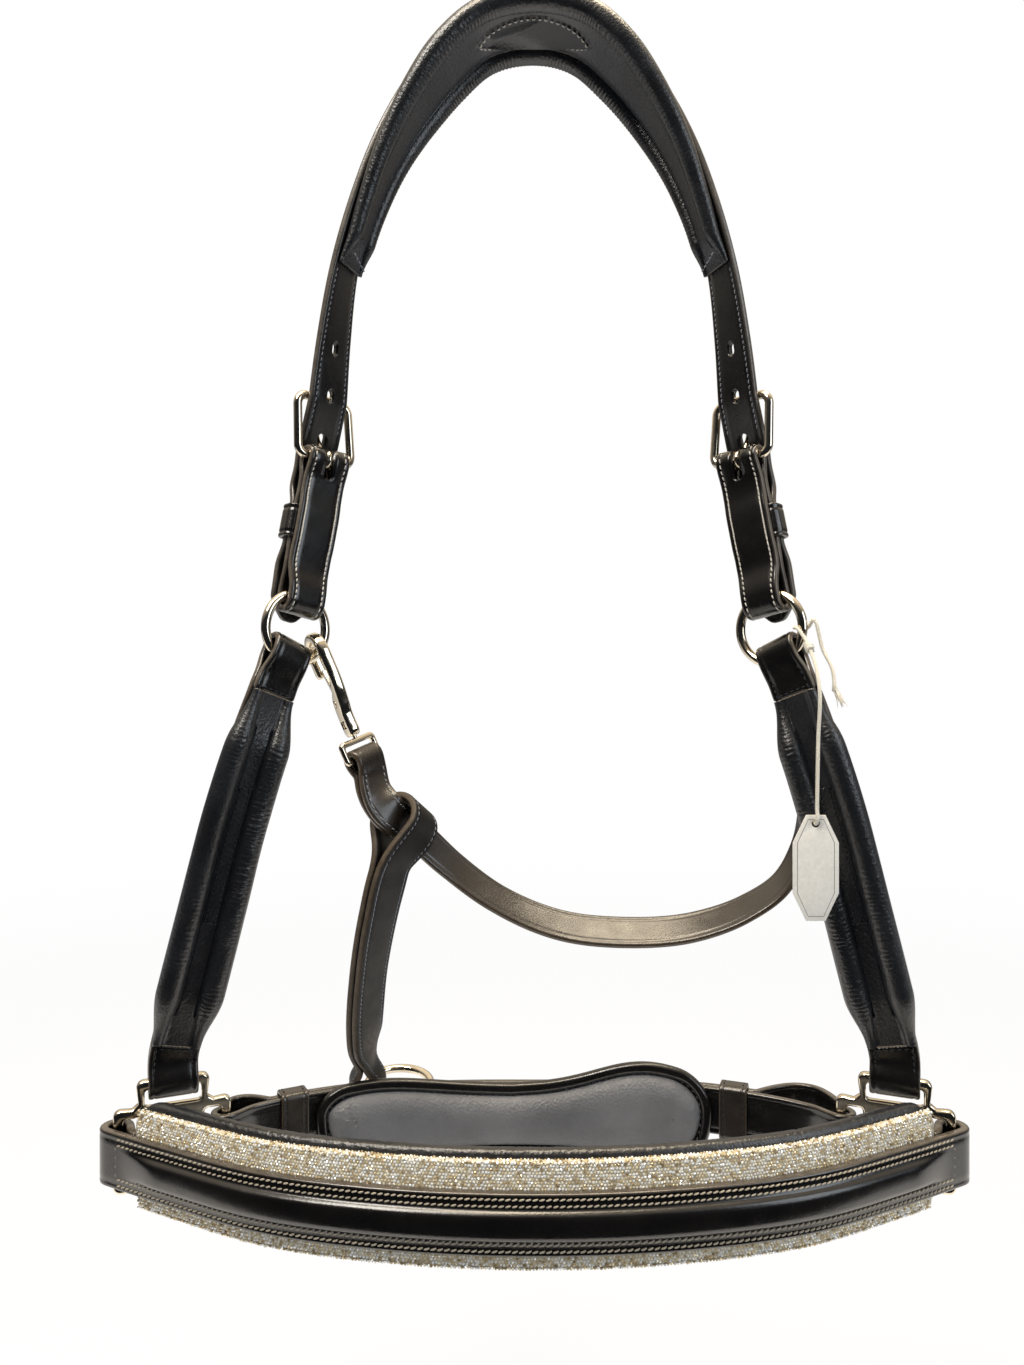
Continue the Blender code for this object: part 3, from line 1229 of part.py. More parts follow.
def make_string():
    points = np.array(string_route)
    knot = np.concatenate([[0.0], np.cumsum(np.linalg.norm(np.diff(points, axis=0), axis=1))])
    dense = np.linspace(0.0, knot[-1], 400)
    curve = Line.smooth(points, knot, dense)
    run = np.concatenate([[0.0], np.cumsum(np.linalg.norm(np.diff(curve, axis=0), axis=1))])
    count = int(round(run[-1] / STRING_STEP))
    stops = np.linspace(0.0, run[-1], count + 1)
    line = np.stack([np.interp(stops, run, curve[:, k]) for k in range(3)], axis=1)
    return tube("tag_string", line, STRING_RADIUS, "cotton_string", string_hang, resolution=2)


make_tag()
make_string()

# Mirror images of the right-hand pieces.
for name, item in pairs.items():
    other_side(item, name)
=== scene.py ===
# Looks of a leather show halter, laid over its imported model. Metres, +Z up, -Y towards the horse's nose.
import math

import bmesh
import bpy
import numpy as np
from mathutils import Matrix, Vector


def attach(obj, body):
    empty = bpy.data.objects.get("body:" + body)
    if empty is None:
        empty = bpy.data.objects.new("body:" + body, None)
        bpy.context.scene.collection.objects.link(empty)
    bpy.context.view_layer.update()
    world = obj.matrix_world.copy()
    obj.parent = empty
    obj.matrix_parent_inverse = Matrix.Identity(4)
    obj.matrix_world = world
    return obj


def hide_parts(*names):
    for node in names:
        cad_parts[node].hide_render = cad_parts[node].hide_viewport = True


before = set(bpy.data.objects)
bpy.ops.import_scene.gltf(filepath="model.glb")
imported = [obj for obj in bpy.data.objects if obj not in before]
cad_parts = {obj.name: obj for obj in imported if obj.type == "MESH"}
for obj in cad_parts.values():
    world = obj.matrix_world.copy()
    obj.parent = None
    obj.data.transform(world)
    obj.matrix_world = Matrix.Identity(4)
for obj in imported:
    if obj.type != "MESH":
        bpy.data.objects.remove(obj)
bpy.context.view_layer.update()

gap = 0.0003
upward = (0.0, 0.0, 1.0)
white = (1.0, 1.0, 1.0)
quarterTurn = Matrix.Rotation(math.radians(90), 4, "X")
leather = {"ply": 0.0028, "round": 0.0009, "groove": 0.00022, "stitchInset": 0.0023, "step": 0.0015}
thread = {
    "pitch": 0.0022, "length": 0.0017, "radius": 0.00029, "thin": 0.00024, "fine": 0.00022, "slant": 0.00035,
}
ply = leather["ply"]
plyOff = ply / 2 + gap / 2


# Lines in space

# The length along a row of points: the sum of the steps up to each point.
def lengthAlong(points):
    return np.concatenate([[0.0], np.cumsum(np.linalg.norm(np.diff(points, axis=0), axis=-1))])


# Vectors divided by their own lengths.
def unit(vectors):
    return vectors / np.linalg.norm(vectors, axis=-1, keepdims=True)


# A step from 0 to 1 that starts and ends flat: three times the square of t less twice its cube.
def smoothStep(t):
    t = np.clip(t, 0.0, 1.0)
    return t * t * (3 - 2 * t)


# A width that eases from one value at s = low to another at s = high, by a smooth step.
def taper(first, last, low, high):
    return lambda s: first + (last - first) * smoothStep((s - low) / (high - low))


# A table's columns read at any spots, along straight pieces between its rows.
def between(spots, knots, table):
    return np.stack([np.interp(spots, knots, column) for column in table.T], axis=-1)


# Cubic pieces through the given values, with slopes taken from their neighbours.
def smoothThrough(values, knot, dense):
    slope = np.gradient(values, knot, axis=0)
    i = np.clip(np.searchsorted(knot, dense, side="right") - 1, 0, len(knot) - 2)
    h = (knot[i + 1] - knot[i])[:, None]
    t = ((dense - knot[i]) / (knot[i + 1] - knot[i]))[:, None]
    start = (2 * t**3 - 3 * t**2 + 1) * values[i] + (t**3 - 2 * t**2 + t) * h * slope[i]
    end = (-2 * t**3 + 3 * t**2) * values[i + 1] + (t**3 - t**2) * h * slope[i + 1]
    return start + end


# A centre line with the direction of a strap's width. A place is s along it, n out from the horse and w across;
# beyond its ends the line goes on straight.
class Line:
    def __init__(self, points, widths, zero=0):
        points = np.array(points, float)
        knot = lengthAlong(points)
        dense = [np.linspace(a, b, 20, endpoint=False) for a, b in zip(knot, knot[1:])]
        dense = np.concatenate(dense + [knot[-1:]])
        self.place = smoothThrough(points, knot, dense)
        self.width = smoothThrough(np.array(widths, float), knot, dense)
        run = lengthAlong(self.place)
        self.s = run - np.interp(knot[zero], dense, run)
        self.along = np.gradient(self.place, self.s, axis=0)

    # The place and the directions along, across and out.
    def frame(self, s):
        s = np.asarray(s, float)
        inside = np.clip(s, self.s[0], self.s[-1])
        along = unit(between(inside, self.s, self.along))
        place = between(inside, self.s, self.place) + (s - inside)[..., None] * along
        across = between(inside, self.s, self.width)
        across = unit(across - (across * along).sum(-1, keepdims=True) * along)
        return place, along, across, np.cross(along, across)

    def at(self, s, n=0.0, w=0.0):
        s, n, w = np.broadcast_arrays(np.asarray(s, float), n, w)
        place, along, across, out = self.frame(s)
        return place + n[..., None] * out + w[..., None] * across


# A level direction turned from +Y by an angle, towards -X on the right side and +X on the left.
def turned(degrees, side=1):
    angle = math.radians(degrees)
    return (-side * math.sin(angle), math.cos(angle), 0.0)


# The line over both sides: the points (x, y, z, ...) of the right half and their images across x = 0.
def bothHalves(half, widthOf):
    left = [(-p[0], *p[1:]) for p in reversed(half[1:])]
    widths = [widthOf(p, -1) for p in left] + [widthOf(p, 1) for p in half]
    return Line([p[:3] for p in left + half], widths, len(half) - 1)


# Meshes

def newObject(name, data):
    item = bpy.data.objects.new(name, data)
    bpy.context.scene.collection.objects.link(item)
    return item


def rawMesh(points, faces):
    mesh = bpy.data.meshes.new("mesh")
    mesh.from_pydata(points, [], faces)
    return mesh


# Quads between neighbours in a grid of points. Columns always close on themselves, rows if told.
def gridFaces(rows, columns, closedRows=False):
    a, b = np.meshgrid(np.arange(rows if closedRows else rows - 1), np.arange(columns), indexing="ij")
    c, d = (a + 1) % rows, (b + 1) % columns
    return np.stack([a * columns + b, a * columns + d, c * columns + d, c * columns + b], -1).reshape(-1, 4)


# A mesh whose faces look outwards: all are flipped if the volume summed over its quads comes out negative.
def meshFrom(points, quads, caps=()):
    points = np.asarray(points, float).reshape(-1, 3)
    p = points[quads]
    volume = np.einsum("ij,ij->i", p[:, 0], np.cross(p[:, 1], p[:, 2]) + np.cross(p[:, 2], p[:, 3])).sum()
    turn = -1 if volume < 0 else 1
    return rawMesh(points.tolist(), quads[:, ::turn].tolist() + [list(cap)[::turn] for cap in caps])


def addValues(mesh, name, values):
    layer = mesh.attributes.new(name, "FLOAT", "POINT")
    layer.data.foreach_set("value", np.asarray(values, np.float32).ravel())


# A skin over rows of points, each row a closed section. Open ends get caps; edge says where the piece is rubbed and
# where its edge is painted lighter as a highlight.
def skin(points, closed=False, edge=0.0):
    rows, columns = points.shape[:2]
    last = (rows - 1) * columns
    caps = [] if closed else [range(columns - 1, -1, -1), range(last, last + columns)]
    mesh = meshFrom(points, gridFaces(rows, columns, closed), caps)
    addValues(mesh, "edge", np.broadcast_to(edge, (rows, columns)))
    return mesh


# The mesh that an object's curve or modifiers make.
def evaluated(item):
    bpy.context.view_layer.update()
    graph = bpy.context.evaluated_depsgraph_get()
    return bpy.data.meshes.new_from_object(item.evaluated_get(graph))


# Points nearer together than near become one, and the faces look outwards.
def cleaned(mesh, near):
    bm = bmesh.new()
    bm.from_mesh(mesh)
    bmesh.ops.remove_doubles(bm, verts=bm.verts, dist=near)
    bmesh.ops.recalc_face_normals(bm, faces=bm.faces)
    bm.to_mesh(mesh)
    bm.free()
    return mesh


# A piece with its look and body; its slot argument is not used.
def place(name, mesh, look, body, slot=None, sharp=None, smooth=True):
    mesh.name = name
    mesh.materials.clear()
    mesh.materials.append(looks[look])
    if smooth:
        mesh.shade_smooth()
    if sharp is not None:
        mesh.set_sharp_from_angle(angle=math.radians(sharp))
    piece = newObject(name, mesh)
    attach(piece, body)
    return piece


# A piece that takes the place of the CAD node whose name it carries.
def dress(node, mesh, look, body, sharp=None):
    piece = place("look_" + node, mesh, look, body, None, sharp)
    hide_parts(node)
    return piece


# The same piece on both sides, as built on the right and mirrored on the left; {} in a name stands for the side.
def onBoth(make, name, mesh, look, body, *rest):
    twin = mesh.copy()
    twin.transform(Matrix.Diagonal((-1.0, 1.0, 1.0, 1.0)))
    twin.flip_normals()
    sides = (("right", mesh), ("left", twin))
    return [make(name.format(side), item, look, body.format(side), *rest) for side, item in sides]


# Ribbons and stitches

# A band of leather along rows of centre points, with the directions of its thickness and width.
# A place on it is u along, a out and b across.
class Ribbon:
    def __init__(self, centre, out, across, half, thick, closed):
        self.centre, self.out, self.across, self.closed = centre, out, across, closed
        self.half, self.thick = half * np.ones(len(centre)), thick * np.ones(len(centre))
        self.u = lengthAlong(centre)

    def read(self, table, u):
        return np.interp(u, self.u, table) if table.ndim == 1 else between(u, self.u, table)

    def point(self, u, a, b):
        centre, out, across = (self.read(table, u) for table in (self.centre, self.out, self.across))
        return centre + a[..., None] * out + b[..., None] * across


# Points of a polyline made even and softened by a bell-shaped average of width soften.
def evenRoute(route, closed, step, soften):
    route = np.array(route, float)
    if closed:
        route = np.vstack([route, route[:1]])
    run = lengthAlong(route)
    fineStep = 0.0004
    count = max(8, int(run[-1] / fineStep))
    values = between(np.linspace(0.0, run[-1], count, endpoint=not closed), run, route)
    reach = min(int(4 * soften / fineStep) + 1, count // 2 - 1)
    kernel = np.exp(-0.5 * (np.arange(-reach, reach + 1) * fineStep / soften) ** 2)
    kernel /= kernel.sum()
    before, after = values[-reach:], values[:reach]
    if not closed:
        before, after = 2 * values[0] - values[reach:0:-1], 2 * values[-1] - values[-2:-reach - 2:-1]
    padded = np.concatenate([before, values, after])
    soft = np.stack([np.convolve(column, kernel, mode="valid") for column in padded.T], axis=1)
    if closed:
        soft = np.vstack([soft, soft[:1]])
    run = lengthAlong(soft)
    return between(np.linspace(0.0, run[-1], max(6, int(round(run[-1] / step))) + 1), run, soft)


# The direction of a path at each point, from the neighbours on both sides.
def wayOf(path, closed):
    if not closed:
        return unit(np.gradient(path, axis=0))
    wrapped = np.vstack([path[-2:-1], path, path[1:2]])
    return unit(wrapped[2:] - wrapped[:-2])


# A ribbon that follows a route given in (s, n) along a line.
def ribbonOn(line, route, width, thick, closed=False, soften=0.0008):
    path = evenRoute(route, closed, leather["step"], soften)
    way = wayOf(path, closed)
    centre, along, across, out = line.frame(path[:, 0])
    centre = centre + path[:, 1:2] * out
    normal = unit(-way[:, 1:2] * along + way[:, :1] * out)
    width = width(path[:, 0]) if callable(width) else width
    item = Ribbon(centre, normal, across, width / 2, thick, closed)
    item.s, item.n = path[:, 0], path[:, 1]
    return item


# A closed ribbon round straps at s of a line, from low to high; its low side may have a ply of its own.
def loopRibbon(line, s, low, high, halfWidth, thick, lowPly, wide):
    middle, half = (low + high) / 2, (high - low) / 2
    spot = (0.0, middle + (thick - lowPly) / 4)
    outline = roundedBox(halfWidth + thick / 2, half + (thick + lowPly) / 4, 0.0020, 8, spot)
    path = evenRoute(outline, True, 0.0006, 0.0004)
    way = wayOf(path, True)
    centre, along, across, out = line.frame(s)
    points = centre + path[:, :1] * across + path[:, 1:2] * out
    normal = way[:, 1:2] * across - way[:, :1] * out
    thick = np.where(path[:, 1] < middle - half * 0.6, lowPly, thick)
    return Ribbon(points, normal, np.broadcast_to(along, points.shape), wide / 2, thick, True)


# Columns of a strap's section over its outer face and back under it: share of the half width, added width, face,
# added height, share of the swell, edge. Corners are quarter rounds; a notch takes the stitches.
def sectionColumns(roundBy, inset, depth, backDepth, rises):
    columns = []
    turns = [(k, math.radians(30 * k)) for k in range(4)]
    corner = [(-1, roundBy * (1 - math.cos(t)), -roundBy * (1 - math.sin(t)), 0.0, 1.0 - k / 3) for k, t in turns]
    notch = ((-0.0006, 0.0), (0.0, 1.0), (0.0006, 0.0))
    for face, cut in ((1, depth), (-1, backDepth)):
        half = corner + [(-1, inset + shift, -cut * share, 0.0, 0.0) for shift, share in notch]
        half += [(-share, 0.0, 0.0, rise, 0.0) for share, rise in rises]
        row = half + [(0.0, 0.0, 0.0, 1.0, 0.0)] + [(-c, -b, *rest) for c, b, *rest in reversed(half)]
        columns += [(face * c, face * b, face, *rest) for c, b, *rest in row]
    return np.array(columns)


# The mesh of a ribbon: every row is a rounded section, drawn in by a quarter round at open ends.
def ribbonMesh(item, inset=leather["stitchInset"], depth=leather["groove"], backDepth=leather["groove"],
               roundBy=leather["round"], swell=0.0, rises=((0.52, 0.34), (0.38, 0.72), (0.20, 0.95))):
    roundBy = min(roundBy, item.thick.min() * 0.46)
    u, drawn = item.u[:-1], 0.0
    if not item.closed:
        total = item.u[-1]
        ends = roundBy * (1 - np.cos(np.radians([0, 25, 50, 75, 90])))
        clear = (item.u > roundBy * 1.2) & (item.u < total - roundBy * 1.2)
        u = np.unique(np.concatenate([ends, item.u[clear], total - ends]))
        near = np.clip(np.minimum(u, total - u), 0.0, roundBy)
        drawn = roundBy - np.sqrt(np.maximum(0.0, roundBy**2 - (roundBy - near) ** 2))
    swell = swell * np.ones(len(item.u))
    half, thick, rise = (item.read(table, u) for table in (item.half, item.thick, swell))
    columns = sectionColumns(roundBy, inset, depth, backDepth, rises)
    share, added, face, height, swellShare, edge = columns.T[:, None, :]
    b = share * (half - drawn)[:, None] + added
    a = face * ((thick / 2 - drawn)[:, None] + height) + np.where(face > 0, swellShare, 0.0) * rise[:, None]
    return skin(item.point(np.broadcast_to(u[:, None], b.shape), a, b), item.closed, edge)


# Grains of thread between start and end points: round, thickest in the middle, and sunk at both ends by the
# fourth power of the way out from the middle.
def stitchMesh(starts, ends, normals, radius=thread["radius"]):
    way = ends - starts
    long = np.linalg.norm(way, axis=-1, keepdims=True)
    way = way / long
    side = unit(np.cross(way, normals))
    parts = ((starts + ends) / 2, long / 2, way, side, np.cross(side, way))
    middle, reach, way, side, top = (part[:, None, None, :] for part in parts)
    t = np.array([-1.0, -0.82, -0.40, 0.0, 0.40, 0.82, 1.0])[:, None, None]
    thin = np.array([0.25, 0.75, 1.0, 1.04, 1.0, 0.75, 0.25])[:, None, None]
    angle = np.radians(np.arange(6) * 60)[None, :, None]
    y, z = thin * np.cos(angle), thin * np.sin(angle) - 1.5 * t**4
    points = middle + (t + 0 * angle) * reach * way + radius * (y * side + z * top)
    quads = gridFaces(7, 6)[None] + (np.arange(len(starts)) * 42)[:, None, None]
    return meshFrom(points, quads.reshape(-1, 4))


# Rows of stitches on a ribbon: each row is (first u, last u, side, inset, face).
def ribbonStitches(item, rows, radius=thread["radius"], pitch=thread["pitch"], length=thread["length"],
                   slant=thread["slant"]):
    starts, ends, normals = [], [], []
    for first, last, side, inset, face in rows:
        count = max(1, int((last - first) / pitch))
        u = first + (np.arange(count) + 0.5) * (last - first) / count
        b = side * (item.read(item.half, u) - inset)
        a = face * (item.read(item.thick, u) / 2 - leather["groove"] * 0.55 + radius * 0.35)
        starts.append(item.point(u - length / 2, a, b - slant / 2))
        ends.append(item.point(u + length / 2, a, b + slant / 2))
        normals.append(face * item.read(item.out, u))
    return stitchMesh(np.concatenate(starts), np.concatenate(ends), unit(np.concatenate(normals)), radius)


# Stitches from s, n and w along a line; the normal points out of the line or, by outward = -1, to the horse.
def lineStitches(line, s, n, w, pitch=thread["pitch"], outward=-1):
    places = line.at(s, n, w)
    run = lengthAlong(places)
    count = max(1, int(run[-1] / pitch))
    middle = (np.arange(count) + 0.5) * run[-1] / count
    reach = thread["length"] / 2
    normal = line.frame(np.broadcast_to(s, len(places)))[3] * outward
    starts, ends = (between(middle + way * reach, run, places) for way in (-1, 1))
    return stitchMesh(starts, ends, unit(between(middle, run, normal)))


# The first and last u of a ribbon where its route lies between two s on one side of the line, cut back by trim.
def stretch(item, low, high, side, floor=0.0, trim=(0.0, 0.0)):
    u = item.u[(item.s > low) & (item.s < high) & (side * item.n > floor)]
    return u.min() + trim[0], u.max() - trim[1]


def bothEdges(stretches, faces=(1,)):
    return [(a, b, side, leather["stitchInset"], face) for a, b in stretches for side in (-1, 1) for face in faces]


# The path of a ply that turns back round a bar: it eases from its level to a half circle and out to the other.
def turnedEnd(at, way, radius, reach, plyIn, plyOut, flare):
    side = math.copysign(1.0, plyIn - plyOut)
    t = np.linspace(0, 1, 6)
    near = at[0] - way * flare * (1 - t)
    inward = np.stack([near, plyIn + (at[1] + side * radius - plyIn) * smoothStep(t)], 1)
    outward = np.stack([near, plyOut + (at[1] - side * radius - plyOut) * smoothStep(t)], 1)[::-1]
    angle = math.pi * (0.5 - np.linspace(0, 1, 25))
    bend = np.stack([at[0] + way * (reach + radius * np.cos(angle)), at[1] + side * radius * np.sin(angle)], 1)
    return [tuple(p) for p in np.concatenate([inward, bend, outward])]


def span(start, stop, step):
    return list(np.linspace(start, stop, max(2, int(abs(stop - start) / step) + 1)))


# Sines with drawn heights, rates and starts, added up.
def drawnWave(random, s, count, height, rate):
    total = 0.0
    for _ in range(count):
        total = total + random.uniform(*height) * np.sin(s * random.uniform(*rate) + random.uniform(0, 6))
    return total


# Crosswise wrinkles: a sine along s whose phase wanders, sharpened into small folds that fade in and out.
def ripples(s, angle, seed, pitch, depth, stray=1.0):
    random = np.random.default_rng(seed)
    wander = drawnWave(random, s, 6, (0.4, 1.5), (60, 420))
    wander = wander + stray * (1.1 * np.sin(s * 870 + 1.9 * angle) + 0.8 * np.sin(s * 1390 - 2.6 * angle))
    swell = drawnWave(random, s, 5, (0.3, 1.0), (50, 260))
    lean = random.uniform(-0.5, 0.5)
    phase = 2 * math.pi * s / pitch + wander + lean * angle + 0.5 * np.sin(2.3 * angle + wander)
    fold = (0.5 + 0.5 * np.sin(phase)) ** 1.3
    patchy = 0.30 * swell + 0.35 * stray * np.sin(angle * 3.1 + swell + s * 640)
    return depth * fold * np.clip(0.50 + 0.15 * (1 - stray) + patchy, 0.15, 1.10)


# Two soft rolls with a lining between them. Half a section is a flat top, a round lobe whose radius loses the
# wrinkles where it faces the horse, and the lining below; the other half mirrors it with wrinkles of its own.
def rollPad(line, s, width, roll, middle, depth, pad):
    angle = np.radians(np.linspace(84, -172, 30))
    lit = np.exp(-(((angle + math.radians(92)) / math.radians(46)) ** 4))[None, :]
    s, width, roll, middle, depth = (column[:, None] for column in (s, width, roll, middle, depth))
    centre = width / 2 - roll
    wave = drawnWave(np.random.default_rng(pad["seed"]), s, 5, (0.2, 1.0), (50, 260))
    sides = []
    for side in (1, -1):
        folds = ripples(s, angle[None, :], pad["seed"] + side, pad["pitch"], 0.73 + 0.27 * side, pad["stray"])
        soft = roll * (1 + 0.012 * wave) - folds * depth * lit
        inner = centre * pad["seam"]
        n = [np.full((len(s), 3), -gap), -gap - roll + soft * np.sin(angle)]
        n += [-gap - middle, -gap - middle * 1.02, -gap - middle]
        w = [centre * np.array([0.0, 0.35, 0.72]), centre + soft * np.cos(angle), inner, inner * 0.6, inner * 0.2]
        sides.append(np.stack([np.concatenate(n, 1), side * np.concatenate(w, 1)]))
    n, w = np.concatenate([sides[0], sides[1][:, :, ::-1][:, :, :-1]], 2)
    return skin(line.at(np.broadcast_to(s, n.shape), n, w))


# Curves and plates

# The mesh of a curve with straight pieces through the given points, swept by the curve's own settings.
def curveMesh(splines, closed, matrix, **settings):
    curve = bpy.data.curves.new("curve", "CURVE")
    for key, setting in settings.items():
        setattr(curve, key, setting)
    for points in splines:
        full = np.zeros((len(points), 4))
        full[:, :len(points[0])] = points
        full[:, 3] = 1.0
        spline = curve.splines.new("POLY")
        spline.points.add(len(points) - 1)
        spline.points.foreach_set("co", full.ravel())
        spline.use_cyclic_u = closed
    item = newObject("curve", curve)
    item.matrix_world = matrix
    mesh = evaluated(item)
    mesh.transform(item.matrix_world)
    bpy.data.objects.remove(item, do_unlink=True)
    return cleaned(mesh, 0.000004)


# A round wire along points.
def tubeMesh(points, radius, closed=False, resolution=4):
    return curveMesh([points], closed, Matrix.Identity(4), dimensions="3D", bevel_depth=radius,
                     bevel_resolution=resolution, use_fill_caps=not closed)


# A plate with rounded edges: the first outline is its rim and the others are holes.
def plateMesh(outlines, thick, matrix, ease=0.0, resolution=0):
    return curveMesh(outlines, True, matrix, dimensions="2D", fill_mode="BOTH", extrude=thick / 2 - ease,
                     bevel_depth=ease, bevel_resolution=resolution, offset=-ease)


# A rectangle whose corners are quarter circles.
def roundedBox(halfX, halfY, radius, steps=6, centre=(0.0, 0.0)):
    outline = []
    for corner, (sx, sy) in enumerate([(1, 1), (-1, 1), (-1, -1), (1, -1)]):
        angle = np.radians(90 * corner + np.linspace(0, 90, steps + 1))
        x = centre[0] + sx * (halfX - radius) + radius * np.cos(angle)
        y = centre[1] + sy * (halfY - radius) + radius * np.sin(angle)
        outline += list(zip(x, y))
    return outline


def circle(radius, count=32, centre=(0.0, 0.0)):
    angle = np.linspace(0, 2 * math.pi, count, endpoint=False)
    return list(zip(centre[0] + radius * np.cos(angle), centre[1] + radius * np.sin(angle)))


# The matrix that lays x, y and z along three directions at a spot.
def basis(first, second, third, spot):
    columns = Matrix([list(first), list(second), list(third)]).transposed().to_4x4()
    return Matrix.Translation(Vector(spot)) @ columns


# The basis of a hole through a strap on a line, with the hole's width across and its length along.
def throughStrap(line, s, n=0.0):
    along, across, out = line.frame(s)[1:]
    return basis(across, out, along, line.at(s, n))


# A torus as a grid: the wire's circle turned about the ring's axis.
def ringMesh(centre, axis, ring):
    axis = unit(np.asarray(axis, float))
    one = unit(np.cross(axis, [0.3, 0.1, 1.0]))
    two = np.cross(axis, one)
    t = np.linspace(0, 2 * math.pi, 96, endpoint=False)[:, None, None]
    v = np.linspace(0, 2 * math.pi, 24, endpoint=False)[None, :, None]
    outward = np.cos(t) * one + np.sin(t) * two
    wire = ring["wire"]
    points = np.asarray(centre) + outward * (ring["radius"] + wire * np.cos(v)) + axis * wire * np.sin(v)
    return meshFrom(points, gridFaces(96, 24, True))


# The mesh with the space of the tools taken out.
def cutWith(mesh, tools):
    item = newObject("cutItem", mesh)
    made = [item]
    for tool in tools:
        modifier = item.modifiers.new("cut", "BOOLEAN")
        modifier.operation = "DIFFERENCE"
        modifier.solver = "EXACT"
        modifier.object = newObject("cutTool", tool)
        made.append(modifier.object)
    result = evaluated(item)
    for other in made:
        bpy.data.objects.remove(other, do_unlink=True)
    return result


# Materials

# A colour socket gets an alpha with its three values; another node's socket is linked.
def fill(tree, node, inputs):
    for key, setting in inputs.items():
        socket = node.inputs[key]
        if isinstance(setting, bpy.types.NodeSocket):
            tree.links.new(setting, socket)
        else:
            socket.default_value = (*setting, 1.0) if socket.type == "RGBA" else setting
    return node


def addNode(tree, kind, inputs=None, **settings):
    node = tree.nodes.new("ShaderNode" + kind)
    for key, setting in settings.items():
        setattr(node, key, setting)
    return fill(tree, node, inputs or {})


def calc(tree, operation, *parts, clamp=False):
    return addNode(tree, "Math", dict(enumerate(parts)), operation=operation, use_clamp=clamp).outputs[0]


# A value moved from the range low to high into the range toLow to toHigh.
def remap(tree, source, low, high, toLow=0.0, toHigh=1.0, curve="LINEAR"):
    ends = {"Value": source, "From Min": low, "From Max": high, "To Min": toLow, "To Max": toHigh}
    return addNode(tree, "MapRange", ends, interpolation_type=curve).outputs["Result"]


def mixColours(tree, factor, one, two):
    return addNode(tree, "Mix", {0: factor, 6: one, 7: two}, data_type="RGBA").outputs[2]


# Stops of colour along a value between 0 and 1.
def colourRamp(tree, source, stops):
    node = addNode(tree, "ValToRGB", {"Fac": source})
    while len(node.color_ramp.elements) < len(stops):
        node.color_ramp.elements.new(0.5)
    for element, (spot, tone) in zip(node.color_ramp.elements, stops):
        element.position = spot
        element.color = (*tone, 1.0)
    return node.outputs["Color"]


def objectNoise(tree, scale, detail=3.0, roughness=0.5):
    spot = addNode(tree, "TexCoord").outputs["Object"]
    inputs = {"Vector": spot, "Scale": scale, "Detail": detail, "Roughness": roughness}
    return addNode(tree, "TexNoise", inputs).outputs["Fac"]


def bump(tree, height, distance, strength, normal=None):
    inputs = {"Height": height, "Distance": distance, "Strength": strength}
    if normal is not None:
        inputs["Normal"] = normal
    return addNode(tree, "Bump", inputs).outputs["Normal"]


# A shader node group: build gets its tree and input sockets and gives back its output sockets in order.
def makeGroup(name, inputs, outputs, build):
    group = bpy.data.node_groups.new(name, "ShaderNodeTree")
    for way, sockets in (("INPUT", inputs), ("OUTPUT", outputs)):
        for label, kind in sockets.items():
            group.interface.new_socket(name=label, in_out=way, socket_type="NodeSocket" + kind)
    inside = group.nodes.new("NodeGroupInput")
    outside = group.nodes.new("NodeGroupOutput")
    for socket, result in zip(outside.inputs, build(group, inside.outputs)):
        group.links.new(result, socket)
    return group


# Leather grain: broad unevenness, then cells for the pebbles, then fine noise for the pores.
def buildGrain(tree, sockets):
    spot = addNode(tree, "TexCoord").outputs["Object"]
    pebbles = addNode(tree, "TexVoronoi", {"Vector": spot, "Scale": sockets["Scale"]}, feature="F1")
    normal = bump(tree, objectNoise(tree, 130.0), 0.0006, 0.16)
    normal = bump(tree, pebbles.outputs["Distance"], sockets["Depth"], 0.55, normal)
    fine = objectNoise(tree, calc(tree, "MULTIPLY", sockets["Scale"], 2.6), 4.0, 0.7)
    return [bump(tree, fine, calc(tree, "MULTIPLY", sockets["Depth"], 0.6), sockets["Pores"], normal)]


# Edge wear and painted highlight: the mesh's own edge value times noise brings in the edge colour, which is partly
# the rubbed edge's own tone and partly a painted highlight for light caught on burnished edges.
def buildWear(tree, sockets):
    edge = addNode(tree, "Attribute", attribute_name="edge").outputs["Fac"]
    broken = remap(tree, objectNoise(tree, 260.0, 5.0, 0.65), 0.25, 0.70, 0.45, 1.15)
    wornAndLit = calc(tree, "MULTIPLY", edge, broken, clamp=True)
    return [mixColours(tree, wornAndLit, sockets["Colour"], sockets["Edge"])]


# Drift: noise moves a colour between two tones, and finer noise a roughness between two values.
def buildDrift(tree, sockets):
    share = remap(tree, objectNoise(tree, sockets["Scale"], 4.0, 0.6), 0.30, 0.72)
    slow = objectNoise(tree, calc(tree, "MULTIPLY", sockets["Scale"], 3.1), 4.0, 0.6)
    rough = remap(tree, slow, 0.25, 0.75, sockets["Smooth"], sockets["Rough"])
    return mixColours(tree, share, sockets["Dark"], sockets["Bright"]), rough


grainGroup = makeGroup("leather_grain", {"Scale": "Float", "Depth": "Float", "Pores": "Float"},
                       {"Normal": "Vector"}, buildGrain)
wearAndHighlightGroup = makeGroup("edge_wear", {"Colour": "Color", "Edge": "Color"}, {"Colour": "Color"}, buildWear)
driftGroup = makeGroup(
    "colour_drift", {"Dark": "Color", "Bright": "Color", "Scale": "Float", "Smooth": "Float", "Rough": "Float"},
    {"Colour": "Color", "Roughness": "Float"}, buildDrift,
)


# A new material whose colour and roughness drift between two values each.
def driftLook(name, dark, bright, scale, rough):
    material = bpy.data.materials.new(name)
    material.use_nodes = True
    tree = material.node_tree
    ends = {"Dark": dark, "Bright": bright, "Scale": scale, "Smooth": rough[0], "Rough": rough[1]}
    tone, dull = addNode(tree, "Group", node_tree=driftGroup).outputs
    fill(tree, tone.node, ends)
    shader = fill(tree, tree.nodes["Principled BSDF"], {"Base Color": tone, "Roughness": dull})
    return material, tree, shader, tone
